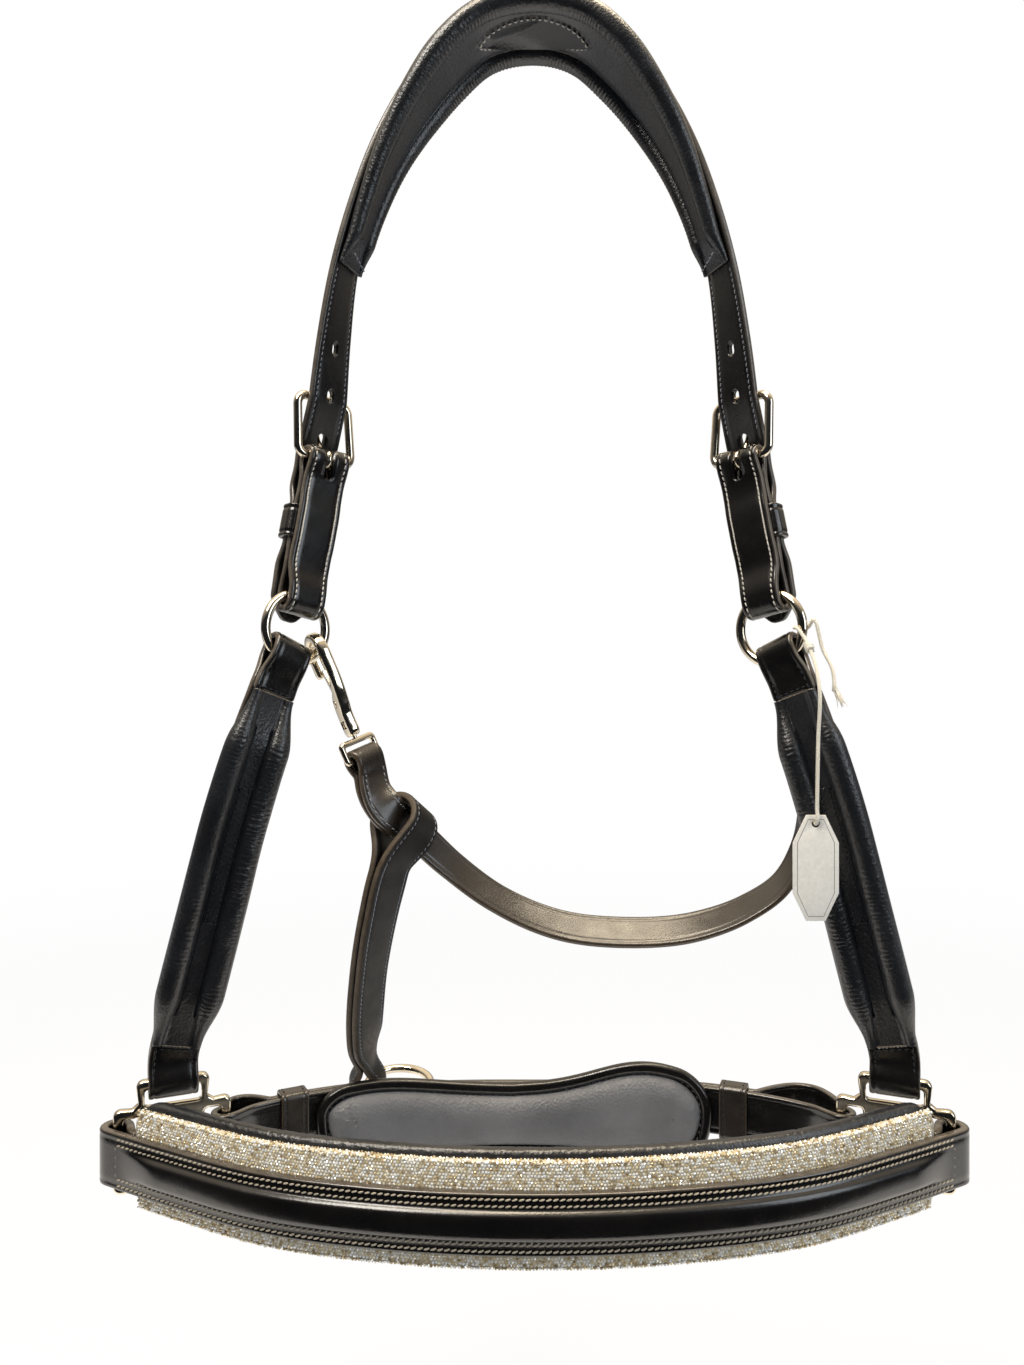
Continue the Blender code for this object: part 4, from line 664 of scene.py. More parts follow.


# Leather: slow drift of tone, rubbed edges lightened partly by a painted highlight, pebbled grain with pores and a
# thin polished coat.
def leatherLook(name, dark, bright, edge, rough, scale, depth, pores=0.25, coat=0.0, sheen=0.0, tint=white,
                shine=0.5):
    material, tree, shader, tone = driftLook(name, dark, bright, 38.0, rough)
    wearAndHighlight = addNode(tree, "Group", node_tree=wearAndHighlightGroup)
    grain = addNode(tree, "Group", node_tree=grainGroup)
    fill(tree, wearAndHighlight, {"Colour": tone, "Edge": edge})
    fill(tree, grain, {"Scale": scale, "Depth": depth, "Pores": pores})
    fill(tree, shader, {
        "Base Color": wearAndHighlight.outputs[0], "Normal": grain.outputs[0], "Specular IOR Level": shine, "Coat Weight": coat,
        "Coat Roughness": 0.16, "Sheen Weight": sheen, "Sheen Roughness": 0.45, "Sheen Tint": tint,
    })
    return material


# Polished metal: nearly even colour, roughness that drifts a little and hairline scratches.
def metalLook(name, dark, bright, rough):
    material, tree, shader, _ = driftLook(name, dark, bright, 70.0, rough)
    spot = addNode(tree, "TexCoord").outputs["Object"]
    drawn = {"Vector": spot, "Scale": (300.0, 2600.0, 900.0), "Rotation": (0.4, 0.2, 0.7)}
    spot = addNode(tree, "Mapping", drawn).outputs["Vector"]
    scratches = addNode(tree, "TexNoise", {"Vector": spot, "Scale": 1.0, "Detail": 2.0}).outputs["Fac"]
    fill(tree, shader, {"Metallic": 1.0, "Normal": bump(tree, scratches, 0.00003, 0.08)})
    return material


# Plain woven or fibrous stuff: fine noise in colour and height.
def fibreLook(name, dark, bright, scale, rough, depth):
    material, tree, shader, _ = driftLook(name, dark, bright, scale, rough)
    normal = bump(tree, objectNoise(tree, scale * 1.7, 4.0, 0.6), depth, 0.5)
    fill(tree, shader, {"Specular IOR Level": 0.25, "Normal": normal})
    return material


# Cut crystals: each stone's tone, drawn at random between amber and white, under a clear coat; the amber is the
# stones' own colour, and the near-white end is partly painted sparkle standing in for light the stones would
# reflect.
def crystalLook(name, stops):
    material = bpy.data.materials.new(name)
    material.use_nodes = True
    tree = material.node_tree
    tone = addNode(tree, "Attribute", attribute_name="tone").outputs["Fac"]
    fill(tree, tree.nodes["Principled BSDF"], {
        "Base Color": colourRamp(tree, tone, stops), "Metallic": 0.22, "Roughness": 0.10, "Coat Weight": 0.8,
        "Coat Roughness": 0.04,
    })
    return material


# Each edge tone is partly the cut edge's own colour and partly a painted highlight, made lighter to stand in for
# light caught on burnished edges.
leathers = {
    "leather": dict(
        name="black_leather_look", dark=(0.0020, 0.0018, 0.0018), bright=(0.0064, 0.0055, 0.0050),
        edge=(0.105, 0.086, 0.066), rough=(0.17, 0.30), scale=1500.0, depth=0.00006, coat=0.40, shine=0.65),
    "billet": dict(
        name="billet_leather_look", dark=(0.0020, 0.0018, 0.0018), bright=(0.0062, 0.0055, 0.0051),
        edge=(0.100, 0.084, 0.066), rough=(0.24, 0.40), scale=1300.0, depth=0.00007, coat=0.30, shine=0.70),
    "lash": dict(
        name="throatlash_look", dark=(0.0060, 0.0042, 0.0028), bright=(0.0190, 0.0125, 0.0075),
        edge=(0.085, 0.060, 0.036), rough=(0.24, 0.40), scale=1400.0, depth=0.00006, coat=0.25, shine=0.80),
    "strapBack": dict(
        name="strap_back_look", dark=(0.0026, 0.0023, 0.0022), bright=(0.0075, 0.0064, 0.0057),
        edge=(0.095, 0.070, 0.046), rough=(0.44, 0.60), scale=1700.0, depth=0.00010, pores=0.50, shine=0.35),
    "brown": dict(
        name="keeper_leather_look", dark=(0.0110, 0.0080, 0.0055), bright=(0.0300, 0.0215, 0.0140),
        edge=(0.120, 0.088, 0.056), rough=(0.24, 0.40), scale=1400.0, depth=0.00006, coat=0.25, shine=0.80),
    "nappa": dict(
        name="soft_nappa_look", dark=(0.0040, 0.0046, 0.0058), bright=(0.0110, 0.0125, 0.0160),
        edge=(0.020, 0.020, 0.022), rough=(0.28, 0.40), scale=900.0, depth=0.00021, pores=0.45, sheen=0.02,
        tint=(0.70, 0.80, 1.0), shine=0.95),
    "grey": dict(
        name="grey_pad_look", dark=(0.115, 0.117, 0.123), bright=(0.180, 0.181, 0.187),
        edge=(0.050, 0.051, 0.055), rough=(0.36, 0.50), scale=900.0, depth=0.00036, pores=0.60, sheen=0.03,
        tint=(0.95, 0.95, 1.0), shine=0.60),
}

# Name, dark tone, bright tone, noise scale, roughness from and to, and depth of the fibres.
fibres = {
    "crystalCloth": ("crystal_cloth_look", (0.40, 0.34, 0.24), (0.72, 0.65, 0.51), 900.0, (0.35, 0.55), 0.0003),
    "thread": ("cream_thread_look", (0.46, 0.42, 0.36), (0.80, 0.76, 0.68), 2600.0, (0.55, 0.75), 0.0001),
    "tanThread": ("tan_thread_look", (0.28, 0.235, 0.17), (0.56, 0.49, 0.38), 2600.0, (0.55, 0.75), 0.0001),
    "greyThread": ("grey_thread_look", (0.16, 0.17, 0.19), (0.34, 0.35, 0.38), 2600.0, (0.55, 0.75), 0.0001),
    "darkThread": ("dark_thread_look", (0.012, 0.013, 0.015), (0.034, 0.036, 0.041), 2600.0, (0.50, 0.70), 0.0001),
    "fray": ("cut_edge_look", (0.10, 0.080, 0.058), (0.34, 0.28, 0.21), 1500.0, (0.7, 0.9), 0.0001),
    "card": ("tag_card_look", (0.72, 0.69, 0.61), (0.82, 0.79, 0.72), 700.0, (0.65, 0.85), 0.00003),
    "print": ("tag_line_look", (0.20, 0.19, 0.18), (0.30, 0.29, 0.27), 900.0, (0.6, 0.8), 0.00002),
    "cotton": ("cotton_string_look", (0.66, 0.60, 0.48), (0.88, 0.84, 0.74), 2200.0, (0.8, 0.95), 0.0002),
    "floor": ("floor_look", (0.88, 0.88, 0.88), (0.90, 0.90, 0.90), 6.0, (0.7, 0.8), 0.0),
}
looks = {key: leatherLook(**values) for key, values in leathers.items()}
looks.update({key: fibreLook(*values) for key, values in fibres.items()})
# The metal's golden tint is partly painted warm light: pale silver fittings are given the warm colour that the
# lamps lend them.
looks["metal"] = metalLook("polished_metal_look", (0.70, 0.61, 0.47), (0.92, 0.85, 0.71), (0.06, 0.16))
# Crystal tones: amber is the stones' own colour, and the near-white end is a painted sparkle.
looks["crystal"] = crystalLook("crystal_look", [
    (0.0, (0.30, 0.21, 0.10)), (0.20, (0.66, 0.52, 0.29)), (0.42, (0.92, 0.80, 0.55)),
    (0.62, (1.0, 0.95, 0.80)), (0.80, (1.0, 1.0, 0.97)),
])
print("materials made")


# Camera, world, lamps and floor

camera = {"place": (-0.0108, -0.407, -0.267), "lens": 26.4, "shiftX": 0.0037}
light = {
    "key": 10.5, "fill": 3.2, "top": 12.0, "ambient": 0.43, "floorWhite": 0.88, "floorHigh": -0.62,
    "floorFront": -0.15,
}


# Seen in gloss, the studio is bright and warm above, grey behind the object and nearly black in front and below.
def makeWorld(scene):
    world = bpy.data.worlds.new("studio")
    world.use_nodes = True
    scene.world = world
    tree = world.node_tree
    rays = addNode(tree, "LightPath").outputs
    spot = addNode(tree, "TexCoord").outputs["Generated"]
    split = addNode(tree, "SeparateXYZ", {"Vector": spot}).outputs
    depth = calc(tree, "MULTIPLY_ADD", split["Y"], 0.25, 0.25)
    gloss = colourRamp(tree, calc(tree, "MULTIPLY_ADD", split["Z"], 0.65, depth), [
        (0.0, (0.010, 0.011, 0.014)), (0.30, (0.018, 0.019, 0.022)), (0.52, (0.22, 0.20, 0.18)),
        (0.80, (1.0, 0.86, 0.66)),
    ])
    tone = tuple(light["ambient"] * share for share in (0.94, 0.98, 1.05))
    for ray, seen in (("Is Glossy Ray", gloss), ("Is Transmission Ray", white), ("Is Camera Ray", white)):
        tone = mixColours(tree, rays[ray], tone, seen)
    fill(tree, tree.nodes["Background"], {"Color": tone})


def makeLamp(name, spot, aim, size, tone):
    data = bpy.data.lights.new(name, "AREA")
    data.shape = "RECTANGLE"
    data.size, data.size_y = size
    data.energy = light[name]
    data.color = tone
    item = newObject(name, data)
    item.location = spot
    item.rotation_euler = (Vector(aim) - Vector(spot)).to_track_quat("-Z", "Y").to_euler()


# The floor grows white with distance, so that no horizon shows, and keeps the shadow near the object.
def makeFloor():
    low, front, far = light["floorHigh"], light["floorFront"], 4
    corners = [(-far, front, low), (far, front, low), (far, far, low), (-far, far, low)]
    mesh = rawMesh(corners, [(0, 1, 2, 3)])
    mesh.materials.append(looks["floor"])
    newObject("floor", mesh)
    tree = looks["floor"].node_tree
    spot = addNode(tree, "TexCoord").outputs["Object"]
    away = addNode(tree, "VectorMath", {0: spot}, operation="LENGTH").outputs["Value"]
    pale = remap(tree, away, 0.75, 1.8, light["floorWhite"], 1.0, "SMOOTHSTEP")
    share = calc(tree, "MULTIPLY", addNode(tree, "LightPath").outputs["Is Camera Ray"], pale)
    glow = addNode(tree, "Emission", {"Color": white}).outputs["Emission"]
    mix = addNode(tree, "MixShader", {0: share, 1: tree.nodes["Principled BSDF"].outputs["BSDF"], 2: glow})
    fill(tree, tree.nodes["Material Output"], {"Surface": mix.outputs["Shader"]})


def makeStage():
    scene = bpy.context.scene
    data = bpy.data.cameras.new("camera")
    data.sensor_fit = "VERTICAL"
    data.sensor_height = 36.0
    data.lens = camera["lens"]
    data.shift_x = camera["shiftX"]
    data.clip_start = 0.01
    item = newObject("camera", data)
    item.location = camera["place"]
    item.rotation_euler = (math.radians(90), 0.0, 0.0)
    scene.camera = item
    scene.view_settings.view_transform = "Standard"
    makeWorld(scene)
    makeLamp("key", (-0.50, -0.55, 0.70), (0.0, 0.0, -0.25), (0.4, 0.5), (1.0, 0.94, 0.86))
    makeLamp("fill", (0.85, -0.60, 0.05), (0.0, 0.0, -0.3), (0.5, 0.7), (0.86, 0.93, 1.0))
    makeLamp("top", (0.08, -0.10, 0.75), (0.0, 0.0, -0.3), (0.8, 0.35), (1.0, 0.84, 0.62))
    makeFloor()


makeStage()
print("stage made")


# Crown strap. Its line runs from one upper ring over the poll to the other.

upperRing = {"centre": (0.0965, 0.0, -0.2450), "turn": 45, "radius": 0.0141, "wire": 0.0019, "clear": 0.0010}
crownShape = {
    "half": [
        (0.0000, 0.0000, 0.00442, 0), (0.0225, 0.0000, -0.0010, 3), (0.0375, 0.0000, -0.0140, 6),
        (0.0495, 0.0005, -0.0300, 7), (0.0605, 0.0012, -0.0500, 9), (0.0690, 0.0022, -0.0720, 12),
        (0.0760, 0.0040, -0.0970, 19), (0.0808, 0.0060, -0.1250, 30), (0.0838, 0.0075, -0.1500, 40),
    ],
    "lean": 0.14, "width": 0.019, "ringWidth": 0.017, "barAboveRing": 0.072,
}
buckle = {"wire": 0.0018, "length": 0.025, "half": 0.0131, "corner": 0.0042, "tongue": 0.0012}
billet = {
    "below": 0.069, "bow": 0.0027, "pitch": 0.0195, "used": 0.0066, "holeLong": 0.0054, "holeWide": 0.0036,
    "usedLong": 0.0098, "usedWide": 0.0042, "point": 0.010, "pointDraw": 0.72,
}
keeper = {
    "below": 0.029, "high": 0.014, "ply": 0.0017, "inner": 0.0010, "clear": 0.0005, "inset": 0.0019,
    "groove": 0.00034, "round": 0.0006,
}


# The way down from a ring with a sideways lean, square to the ring's own turn.
def downFromRing(lean):
    angle = math.radians(upperRing["turn"])
    return unit(np.array([lean, -lean * math.cos(angle) / math.sin(angle), -1.0]))


ringCentre = np.array(upperRing["centre"])
crownWay = downFromRing(crownShape["lean"])
crownHalf = crownShape["half"] + [
    (*(ringCentre - crownWay * crownShape["barAboveRing"] * share), upperRing["turn"]) for share in (1.0, 0.45, 0.0)
]
crown = bothHalves(crownHalf, lambda p, side: turned(p[3], side))
sRing = crown.s[-1]
sBar = sRing - crownShape["barAboveRing"]
sWire = sRing - upperRing["radius"]
barFold = buckle["wire"] + 0.0004 + ply / 2
ringFold = upperRing["wire"] + upperRing["clear"] * 0.8 + ply / 2
cadPlyOff = ply / 2 + keeper["inner"] / 2 + gap
tailOff = cadPlyOff + ply + gap
billetFar = ply / 2 + 0.0002
billetBar = barFold + ply + gap + 0.0003
billetRing = ringFold + ply + gap + 0.0002
keeperAt = sBar + keeper["below"]


# How far out the billet lies from its line: eased steps from one level of the table to the next.
def billetOff(s):
    bowed = tailOff + billet["bow"]
    stops, outs = np.array([
        (0.0, billetFar), (sBar - buckle["length"], billetFar), (sBar - 0.002, billetBar),
        (sBar + 0.003, billetBar), (sBar + 0.012, bowed), (keeperAt - 0.008, tailOff), (keeperAt + 0.008, tailOff),
        (keeperAt + 0.018, bowed), (sWire, billetRing), (sRing + 0.002, billetRing),
    ]).T.copy()
    k = np.clip(np.searchsorted(stops, s, side="right") - 1, 0, len(stops) - 2)
    t = (s - stops[k]) / (stops[k + 1] - stops[k])
    eased = np.where(k == 1, np.clip(t, 0, 1) ** 1.15, smoothStep(t))
    return outs[k] + (outs[k + 1] - outs[k]) * eased


# The width less a power of the way into the point at each end.
def billetWidth(s):
    end = np.clip(np.abs(s) - (sBar + billet["below"] - billet["point"]), 0.0, None) / billet["point"]
    return crownShape["width"] * (1.0 - billet["pointDraw"] * end**1.6)


def makeCrownStrap():
    tip = sBar + billet["below"]
    s = np.linspace(-tip, tip, 720)
    item = ribbonOn(crown, np.stack([s, billetOff(np.abs(s))], 1), billetWidth, ply, soften=0.0005)
    tools = []
    for side in (-1, 1):
        for k in (-1, -2, 0, 1, 2):
            spot = sBar - billet["used"] + k * billet["pitch"]
            kind = "used" if k == 0 else "hole"
            wide, long = billet[kind + "Wide"] / 2, billet[kind + "Long"] / 2
            slope = (billetOff(spot + 0.001) - billetOff(spot - 0.001)) / 0.002
            lean = Matrix.Rotation(-side * math.atan(slope), 4, "X")
            matrix = throughStrap(crown, side * spot, billetOff(spot)) @ lean @ quarterTurn
            tools.append(plateMesh([roundedBox(wide, long, wide - 0.0001)], 3 * ply, matrix))
    dress("crown_strap", cutWith(ribbonMesh(item), tools), "billet", "crown")
    near, far = crownPad["length"] / 2 + 0.004, sBar - 0.009
    uZero = np.interp(0.0, item.s, item.u)
    rows = []
    for side in (-1, 1):
        rows += bothEdges([sorted((uZero + side * near, uZero + side * far))], (-1, 1))
        rows += bothEdges([sorted((uZero + side * 0.004, uZero + side * near))])
    place("crown_strap_stitching", ribbonStitches(item, rows, thread["thin"]), "greyThread", "crown")


# Crown padding

crownPad = {
    "length": 0.272, "top": 0.043, "end": 0.0175, "lining": 0.0064, "roll": 0.0046, "fill": 0.75, "seam": 0.60,
    "seed": 11, "pitch": 0.0018, "depth": 0.00040, "stray": 0.25,
}
crownPatch = {
    "long": 0.0310, "wide": 0.0102, "shift": 0.0003, "rowLong": 0.90, "rowWide": 0.84, "rowRise": 0.00105,
    "rowPitch": 0.0024,
}


# Width, rolls and wrinkles fall off along smooth steps from the middle to the ends.
def makeCrownPad():
    half = crownPad["length"] / 2
    s = np.linspace(-half, half, 900)
    t = np.abs(s) / half
    narrow = smoothStep((t - 0.22) / 0.78)
    width = crownPad["top"] + (crownPad["end"] - crownPad["top"]) * narrow
    end = smoothStep((1.0 - t) / 0.10)
    roll = crownPad["roll"] * (0.62 + 0.38 * (1 - narrow)) * (0.35 + 0.65 * end)
    middle = np.minimum(crownPad["lining"], roll * 1.40)
    depth = crownPad["depth"] * (0.30 + 0.70 * smoothStep((0.70 - t) / 0.30))
    piece = dress("crown_padding", rollPad(crown, s, width, roll, middle, depth, crownPad), "nappa", "crown")
    for side, label in ((-1, "left"), (1, "right")):
        # Slanted cross seams where the padding ends on each side.
        spots = side * np.linspace(half - 0.0050, half - 0.0012, 20)
        cross = lineStitches(crown, spots, -0.0046, np.linspace(-0.0058, 0.0058, 20))
        place("crown_cross_seam_" + label, cross, "greyThread", "crown")


# The almond patch: rings shrink from its outline to the middle, over a slightly domed top, with a row of stitches.
def makeCrownPatch():
    angle = np.linspace(0, 2 * math.pi, 161)
    s = crownPatch["long"] * np.cos(angle)
    w = crownPatch["wide"] * np.sign(np.sin(angle)) * np.abs(np.sin(angle)) ** 1.5 - crownPatch["shift"]
    level = -gap - crownPad["lining"]
    rowS, rowW = s * crownPatch["rowLong"], w * crownPatch["rowWide"]
    row = lineStitches(crown, rowS, level - crownPatch["rowRise"], rowW, crownPatch["rowPitch"])
    # The patch's stitches take the cream thread look, lighter than their own grey, as painted light that offsets
    # the shade they lie in.
    place("crown_patch_stitching", row, "thread", "crown")
    s, w = s[:-1], w[:-1]
    ring = np.linspace(0, 1, 14)[:, None]
    rise = 0.0007 * (1 - ring**8) + 0.0005 * (1 - ring**2)
    top = crown.at(s[None, :] * ring, level + 0.0002 - rise, w[None, :] * ring)
    points = np.concatenate([top.reshape(-1, 3), crown.at(s, level + 0.0005, w)])
    columns = len(s)
    mesh = meshFrom(points, gridFaces(15, columns), [range(14 * columns, 15 * columns)])
    place("crown_patch", mesh, "nappa", "crown")


# Buckles, buckle straps, keepers and rings

# How far a ring's own curve lets a flat fold reach past its wire.
def foldReach():
    inside = math.sqrt((upperRing["radius"] - upperRing["wire"]) ** 2 - (crownShape["ringWidth"] / 2) ** 2)
    return upperRing["radius"] - (inside - upperRing["clear"] + ringFold - ply / 2)


# The plies lie close together and part only round the bar, the ring and, by a steep bell, the keeper's leg.
def makeBuckleStrap():
    lower = turnedEnd((sWire, 0.0), 1, ringFold, foldReach(), plyOff, -plyOff, 0.012)
    upper = turnedEnd((sBar, 0.0), -1, barFold, 0.0, -plyOff, plyOff, 0.011)
    spots = np.array(span(sBar + 0.011, sWire - 0.012, 0.0015)[1:-1])
    off = plyOff + (cadPlyOff - plyOff) * np.exp(-(((spots - keeperAt) / 0.0105) ** 6))
    outer, inner = list(zip(spots, off)), list(zip(spots[::-1], -off[::-1]))
    width = taper(crownShape["width"], crownShape["ringWidth"], sWire - 0.014, sWire)
    item = ribbonOn(crown, outer + lower + inner + upper, width, ply, closed=True)
    slotTool = plateMesh([roundedBox(0.0022, 0.0082, 0.0015)], 6 * ply, throughStrap(crown, sBar) @ quarterTurn)
    onBoth(dress, "{}_buckle_strap", cutWith(ribbonMesh(item), [slotTool]), "leather", "crown")
    rows = bothEdges([stretch(item, sBar + 0.007, sWire - 0.007, side) for side in (1, -1)])
    onBoth(place, "look_{}_buckle_strap_stitching", ribbonStitches(item, rows), "thread", "crown")


# The frame's bar lies in the strap's fold and its far side out over the billet; the tongue hooks round the bar.
def makeBuckle():
    far = billetFar + ply / 2 + gap + buckle["wire"]
    outline = roundedBox(buckle["half"], buckle["length"] / 2, buckle["corner"], 8, (0.0, buckle["length"] / 2))
    across, rise = np.array(outline).T
    wire = tubeMesh(crown.at(sBar - rise, far * rise / buckle["length"], across), buckle["wire"], True, 5)
    onBoth(dress, "{}_buckle_frame", wire, "metal", "{}_buckle")
    loop = buckle["wire"] + gap + buckle["tongue"]
    top = billetFar + ply / 2 + 2 * gap + 2 * buckle["wire"] + buckle["tongue"]
    angle = np.radians(370 - 280 * np.linspace(0, 1, 30))
    path = list(zip(loop * np.cos(angle), loop * np.sin(angle)))
    path += [(0.0030, 0.0035), (0.0053, 0.0047), (0.0085, 0.0071), (0.0115, 0.0083), (0.0150, top)]
    path += [(buckle["length"], top), (buckle["length"] + 0.0035, top - 0.0002)]
    path = evenRoute(path, False, 0.0005, 0.0006)
    tongue = tubeMesh(crown.at(sBar - path[:, 0], path[:, 1]), buckle["tongue"], False, 5)
    onBoth(dress, "{}_buckle_tongue", tongue, "metal", "{}_tongue")


def makeKeeper():
    item = loopRibbon(crown, keeperAt, keeper["inner"] / 2, tailOff + ply / 2 + gap,
                      crownShape["width"] / 2 + keeper["clear"], keeper["ply"], keeper["inner"], keeper["high"])
    mesh = ribbonMesh(item, keeper["inset"], keeper["groove"], 0.0, keeper["round"])
    onBoth(dress, "{}_keeper", mesh, "leather", "crown")


makeCrownStrap()
makeCrownPad()
makeCrownPatch()
makeBuckleStrap()
makeBuckle()
makeKeeper()
onBoth(dress, "{}_upper_ring", ringMesh(ringCentre, crown.frame(sRing)[3], upperRing), "metal", "{}_ring")
print("crown made")


# Cheeks. Their line runs from the upper ring down to the fitting.

cheekShape = {
    "lean": 0.31, "turnBack": 0.0150,
    "points": [
        (0.1105, -0.0088, -0.2880, 54), (0.1195, -0.0092, -0.3180, 60), (0.1285, -0.0085, -0.3540, 65),
        (0.1365, -0.0070, -0.3850, 68), (0.1425, -0.0062, -0.4080, 68),
    ],
}
cheekPad = {
    "roll": 0.0050, "wide": 0.0265, "narrow": 0.0190, "channel": 1.15, "fill": 0.8, "seam": 0.52, "seed": 31,
    "pitch": 0.0019, "depth": 0.00030, "stray": 0.75,
}
fitting = {
    "centre": (0.1445, -0.0060, -0.4515), "turn": 68, "thick": 0.0040, "bar": 0.0040, "slot": 0.0065,
    "eye": 0.0250, "reach": 0.0205, "topEye": 0.0215, "play": 0.0011, "corner": 0.0030,
}
fittingCentre = np.array(fitting["centre"])
topBar = fittingCentre + np.array([0.0, 0.0, fitting["eye"] / 2 + fitting["bar"] * 1.5 + fitting["slot"]])
cheekWay = downFromRing(cheekShape["lean"])
cheekPoints = [(*(ringCentre + cheekWay * reach), upperRing["turn"]) for reach in (0.0, 0.014, 0.028)]
cheekPoints += cheekShape["points"]
cheekPoints += [(*(topBar + np.array([0.0, 0.0, rise])), fitting["turn"]) for rise in (0.009, 0.0)]
cheek = Line([p[:3] for p in cheekPoints], [turned(p[3]) for p in cheekPoints])
sFitting = cheek.s[-1]
cheekTop = upperRing["radius"] + cheekShape["turnBack"]
cheekLow = sFitting - cheekShape["turnBack"]


def makeCheekStrap():
    low = upperRing["radius"]
    upper = turnedEnd((low, 0.0), -1, ringFold, foldReach(), -plyOff, plyOff, 0.010)
    fold = fitting["bar"] / 2 + upperRing["clear"] * 0.8 + ply / 2
    lower = turnedEnd((sFitting, 0.0), 1, fold, 0.0005, plyOff, -plyOff, 0.009)
    outer = [(s, plyOff) for s in span(low + 0.010, sFitting - 0.009, 0.002)[1:-1]]
    route = [(cheekTop, -plyOff)] + upper + outer + lower + [(cheekLow, -plyOff)]
    item = ribbonOn(cheek, route, taper(crownShape["width"], crownShape["ringWidth"], low + 0.014, low), ply)
    onBoth(dress, "{}_cheek_strap", ribbonMesh(item), "leather", "cheeks")
    stitches = ribbonStitches(item, bothEdges([stretch(item, low + 0.009, sFitting - 0.008, 1)]))
    onBoth(place, "look_{}_cheek_strap_outer_stitching", stitches, "greyThread", "cheeks")
    ends = ((low + 0.0045, cheekTop), (cheekLow, sFitting - 0.0045))
    stitches = ribbonStitches(item, bothEdges([stretch(item, *end, -1, 0.0010) for end in ends]))
    onBoth(place, "look_{}_cheek_strap_stitching", stitches, "darkThread", "cheeks", "black_leather")
    # Cross seams where each turned end is sewn down over the padding's edge, with a frayed cut edge beside them.
    level = -plyOff - ply / 2
    across = np.linspace(-0.0066, 0.0066, 12)
    for label, spot, way in (("top", cheekTop - 0.0014, 1), ("low", cheekLow + 0.0014, -1)):
        seam = lineStitches(cheek, spot, level - 0.0001, across, 0.0026)
        onBoth(place, "look_{}_cheek_cross_seam_" + label, seam, "darkThread", "cheeks", "black_leather")
        fray = lineStitches(cheek, spot + way * 0.0015, level + 0.0002, across * 1.18, 0.0013)
        onBoth(place, "look_{}_cheek_cut_edge_" + label, fray, "fray", "cheeks", "black_leather")


# A narrow slip of leather sewn into the channel, nearly square in section, with rows along and across it.
def makeCheekSlip(s, level):
    half = 0.0026 * np.sqrt(np.clip(1 - np.abs(np.linspace(-1, 1, len(s))) ** 14, 0, 1))[:, None]
    across = np.linspace(-1, 1, 12)[None, :]
    spots = np.repeat(s[:, None], 12, 1)
    top = cheek.at(spots, level[:, None] - 0.00055 * (1 - across**6) + 0.00012, half * across)
    under = cheek.at(spots[:, :2], level[:, None] + 0.0004, half * np.array([[1.0, -1.0]]))
    onBoth(place, "look_{}_cheek_slip", skin(np.concatenate([top, under], 1)), "nappa", "cheeks", "black_leather")
    seams = [("channel_seam_one", s, level - 0.00052, np.full(len(s), -0.0019), thread["pitch"])]
    seams += [("channel_seam_two", s, level - 0.00052, np.full(len(s), 0.0019), thread["pitch"])]
    for label, k in (("top", 0), ("low", -1)):
        seams.append(("slip_end_" + label, s[k], level[k] - 0.00035, np.linspace(-0.0032, 0.0032, 10), 0.0016))
    for label, *row in seams:
        onBoth(place, "look_{}_cheek_" + label, lineStitches(cheek, *row), "darkThread", "cheeks", "black_leather")


def makeCheekPad():
    start, stop = cheekTop + 0.4 * gap, cheekLow - 0.4 * gap
    s = np.linspace(start, stop, 420)
    t = (s - start) / (stop - start)
    nearEnd = smoothStep(np.minimum(t, 1 - t) / 0.16)
    width = cheekPad["narrow"] + (cheekPad["wide"] - cheekPad["narrow"]) * nearEnd
    roll = cheekPad["roll"] * (0.40 + 0.60 * nearEnd)
    middle = roll * cheekPad["channel"]
    depth = cheekPad["depth"] * smoothStep(np.minimum(t, 1 - t) / 0.12)
    mesh = rollPad(cheek, s, width, roll, middle, depth, cheekPad)
    for piece in onBoth(dress, "{}_cheek_padding", mesh, "nappa", "cheeks"):
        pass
    slip = (t > 0.26) & (t < 0.64)
    makeCheekSlip(s[slip], (-gap - middle)[slip])


makeCheekStrap()
makeCheekPad()
print("cheeks made")


# Noseband and its corner fittings

noseShape = {"half": [(0.0, -0.0658), (0.050, -0.0622), (0.098, -0.0512), (0.138, -0.0325)], "flare": 0.0108}
panel = {
    "high": 0.0215, "ply": 0.0034, "swell": 0.0026, "insets": (0.0019, 0.0042),
    "stitch": {"radius": 0.00036, "pitch": 0.0023, "length": 0.0023, "slant": 0.00075},
}
noseBase = {"high": 0.0370, "ply": 0.0028, "inset": 0.0135, "rise": 0.0015, "square": (0.45, 0.18), "rows": 200}
noseLining = {
    "high": 0.0410, "ply": 0.0068, "fill": 0.6, "square": (0.75, 0.24), "rows": 320, "seed": 61, "pitch": 0.0026,
    "depth": 0.00030,
}
crystals = {"pitch": 0.00118, "size": 0.00058, "high": 0.00036, "tilt": 0.22, "seed": 5}
fittingAcross = np.array(turned(fitting["turn"]))
noseBar = fittingCentre - fittingAcross * fitting["reach"]
chinBar = fittingCentre + fittingAcross * fitting["reach"]
noseFold = fitting["thick"] / 2 + fitting["play"] + panel["ply"] / 2
noseSlope = math.atan2(noseBar[1] - noseShape["half"][-1][1], noseBar[0] - noseShape["half"][-1][0])
nosePass = noseBar[:2] + noseFold * np.array([math.sin(noseSlope), -math.cos(noseSlope)])
level = fitting["centre"][2]
noseHalf = [(x, y, level) for x, y in noseShape["half"] + [tuple(nosePass)]]
nose = bothHalves(noseHalf, lambda p, side: upward)
sNose = nose.s[-1]
layerEnd = sNose - noseBase["inset"]


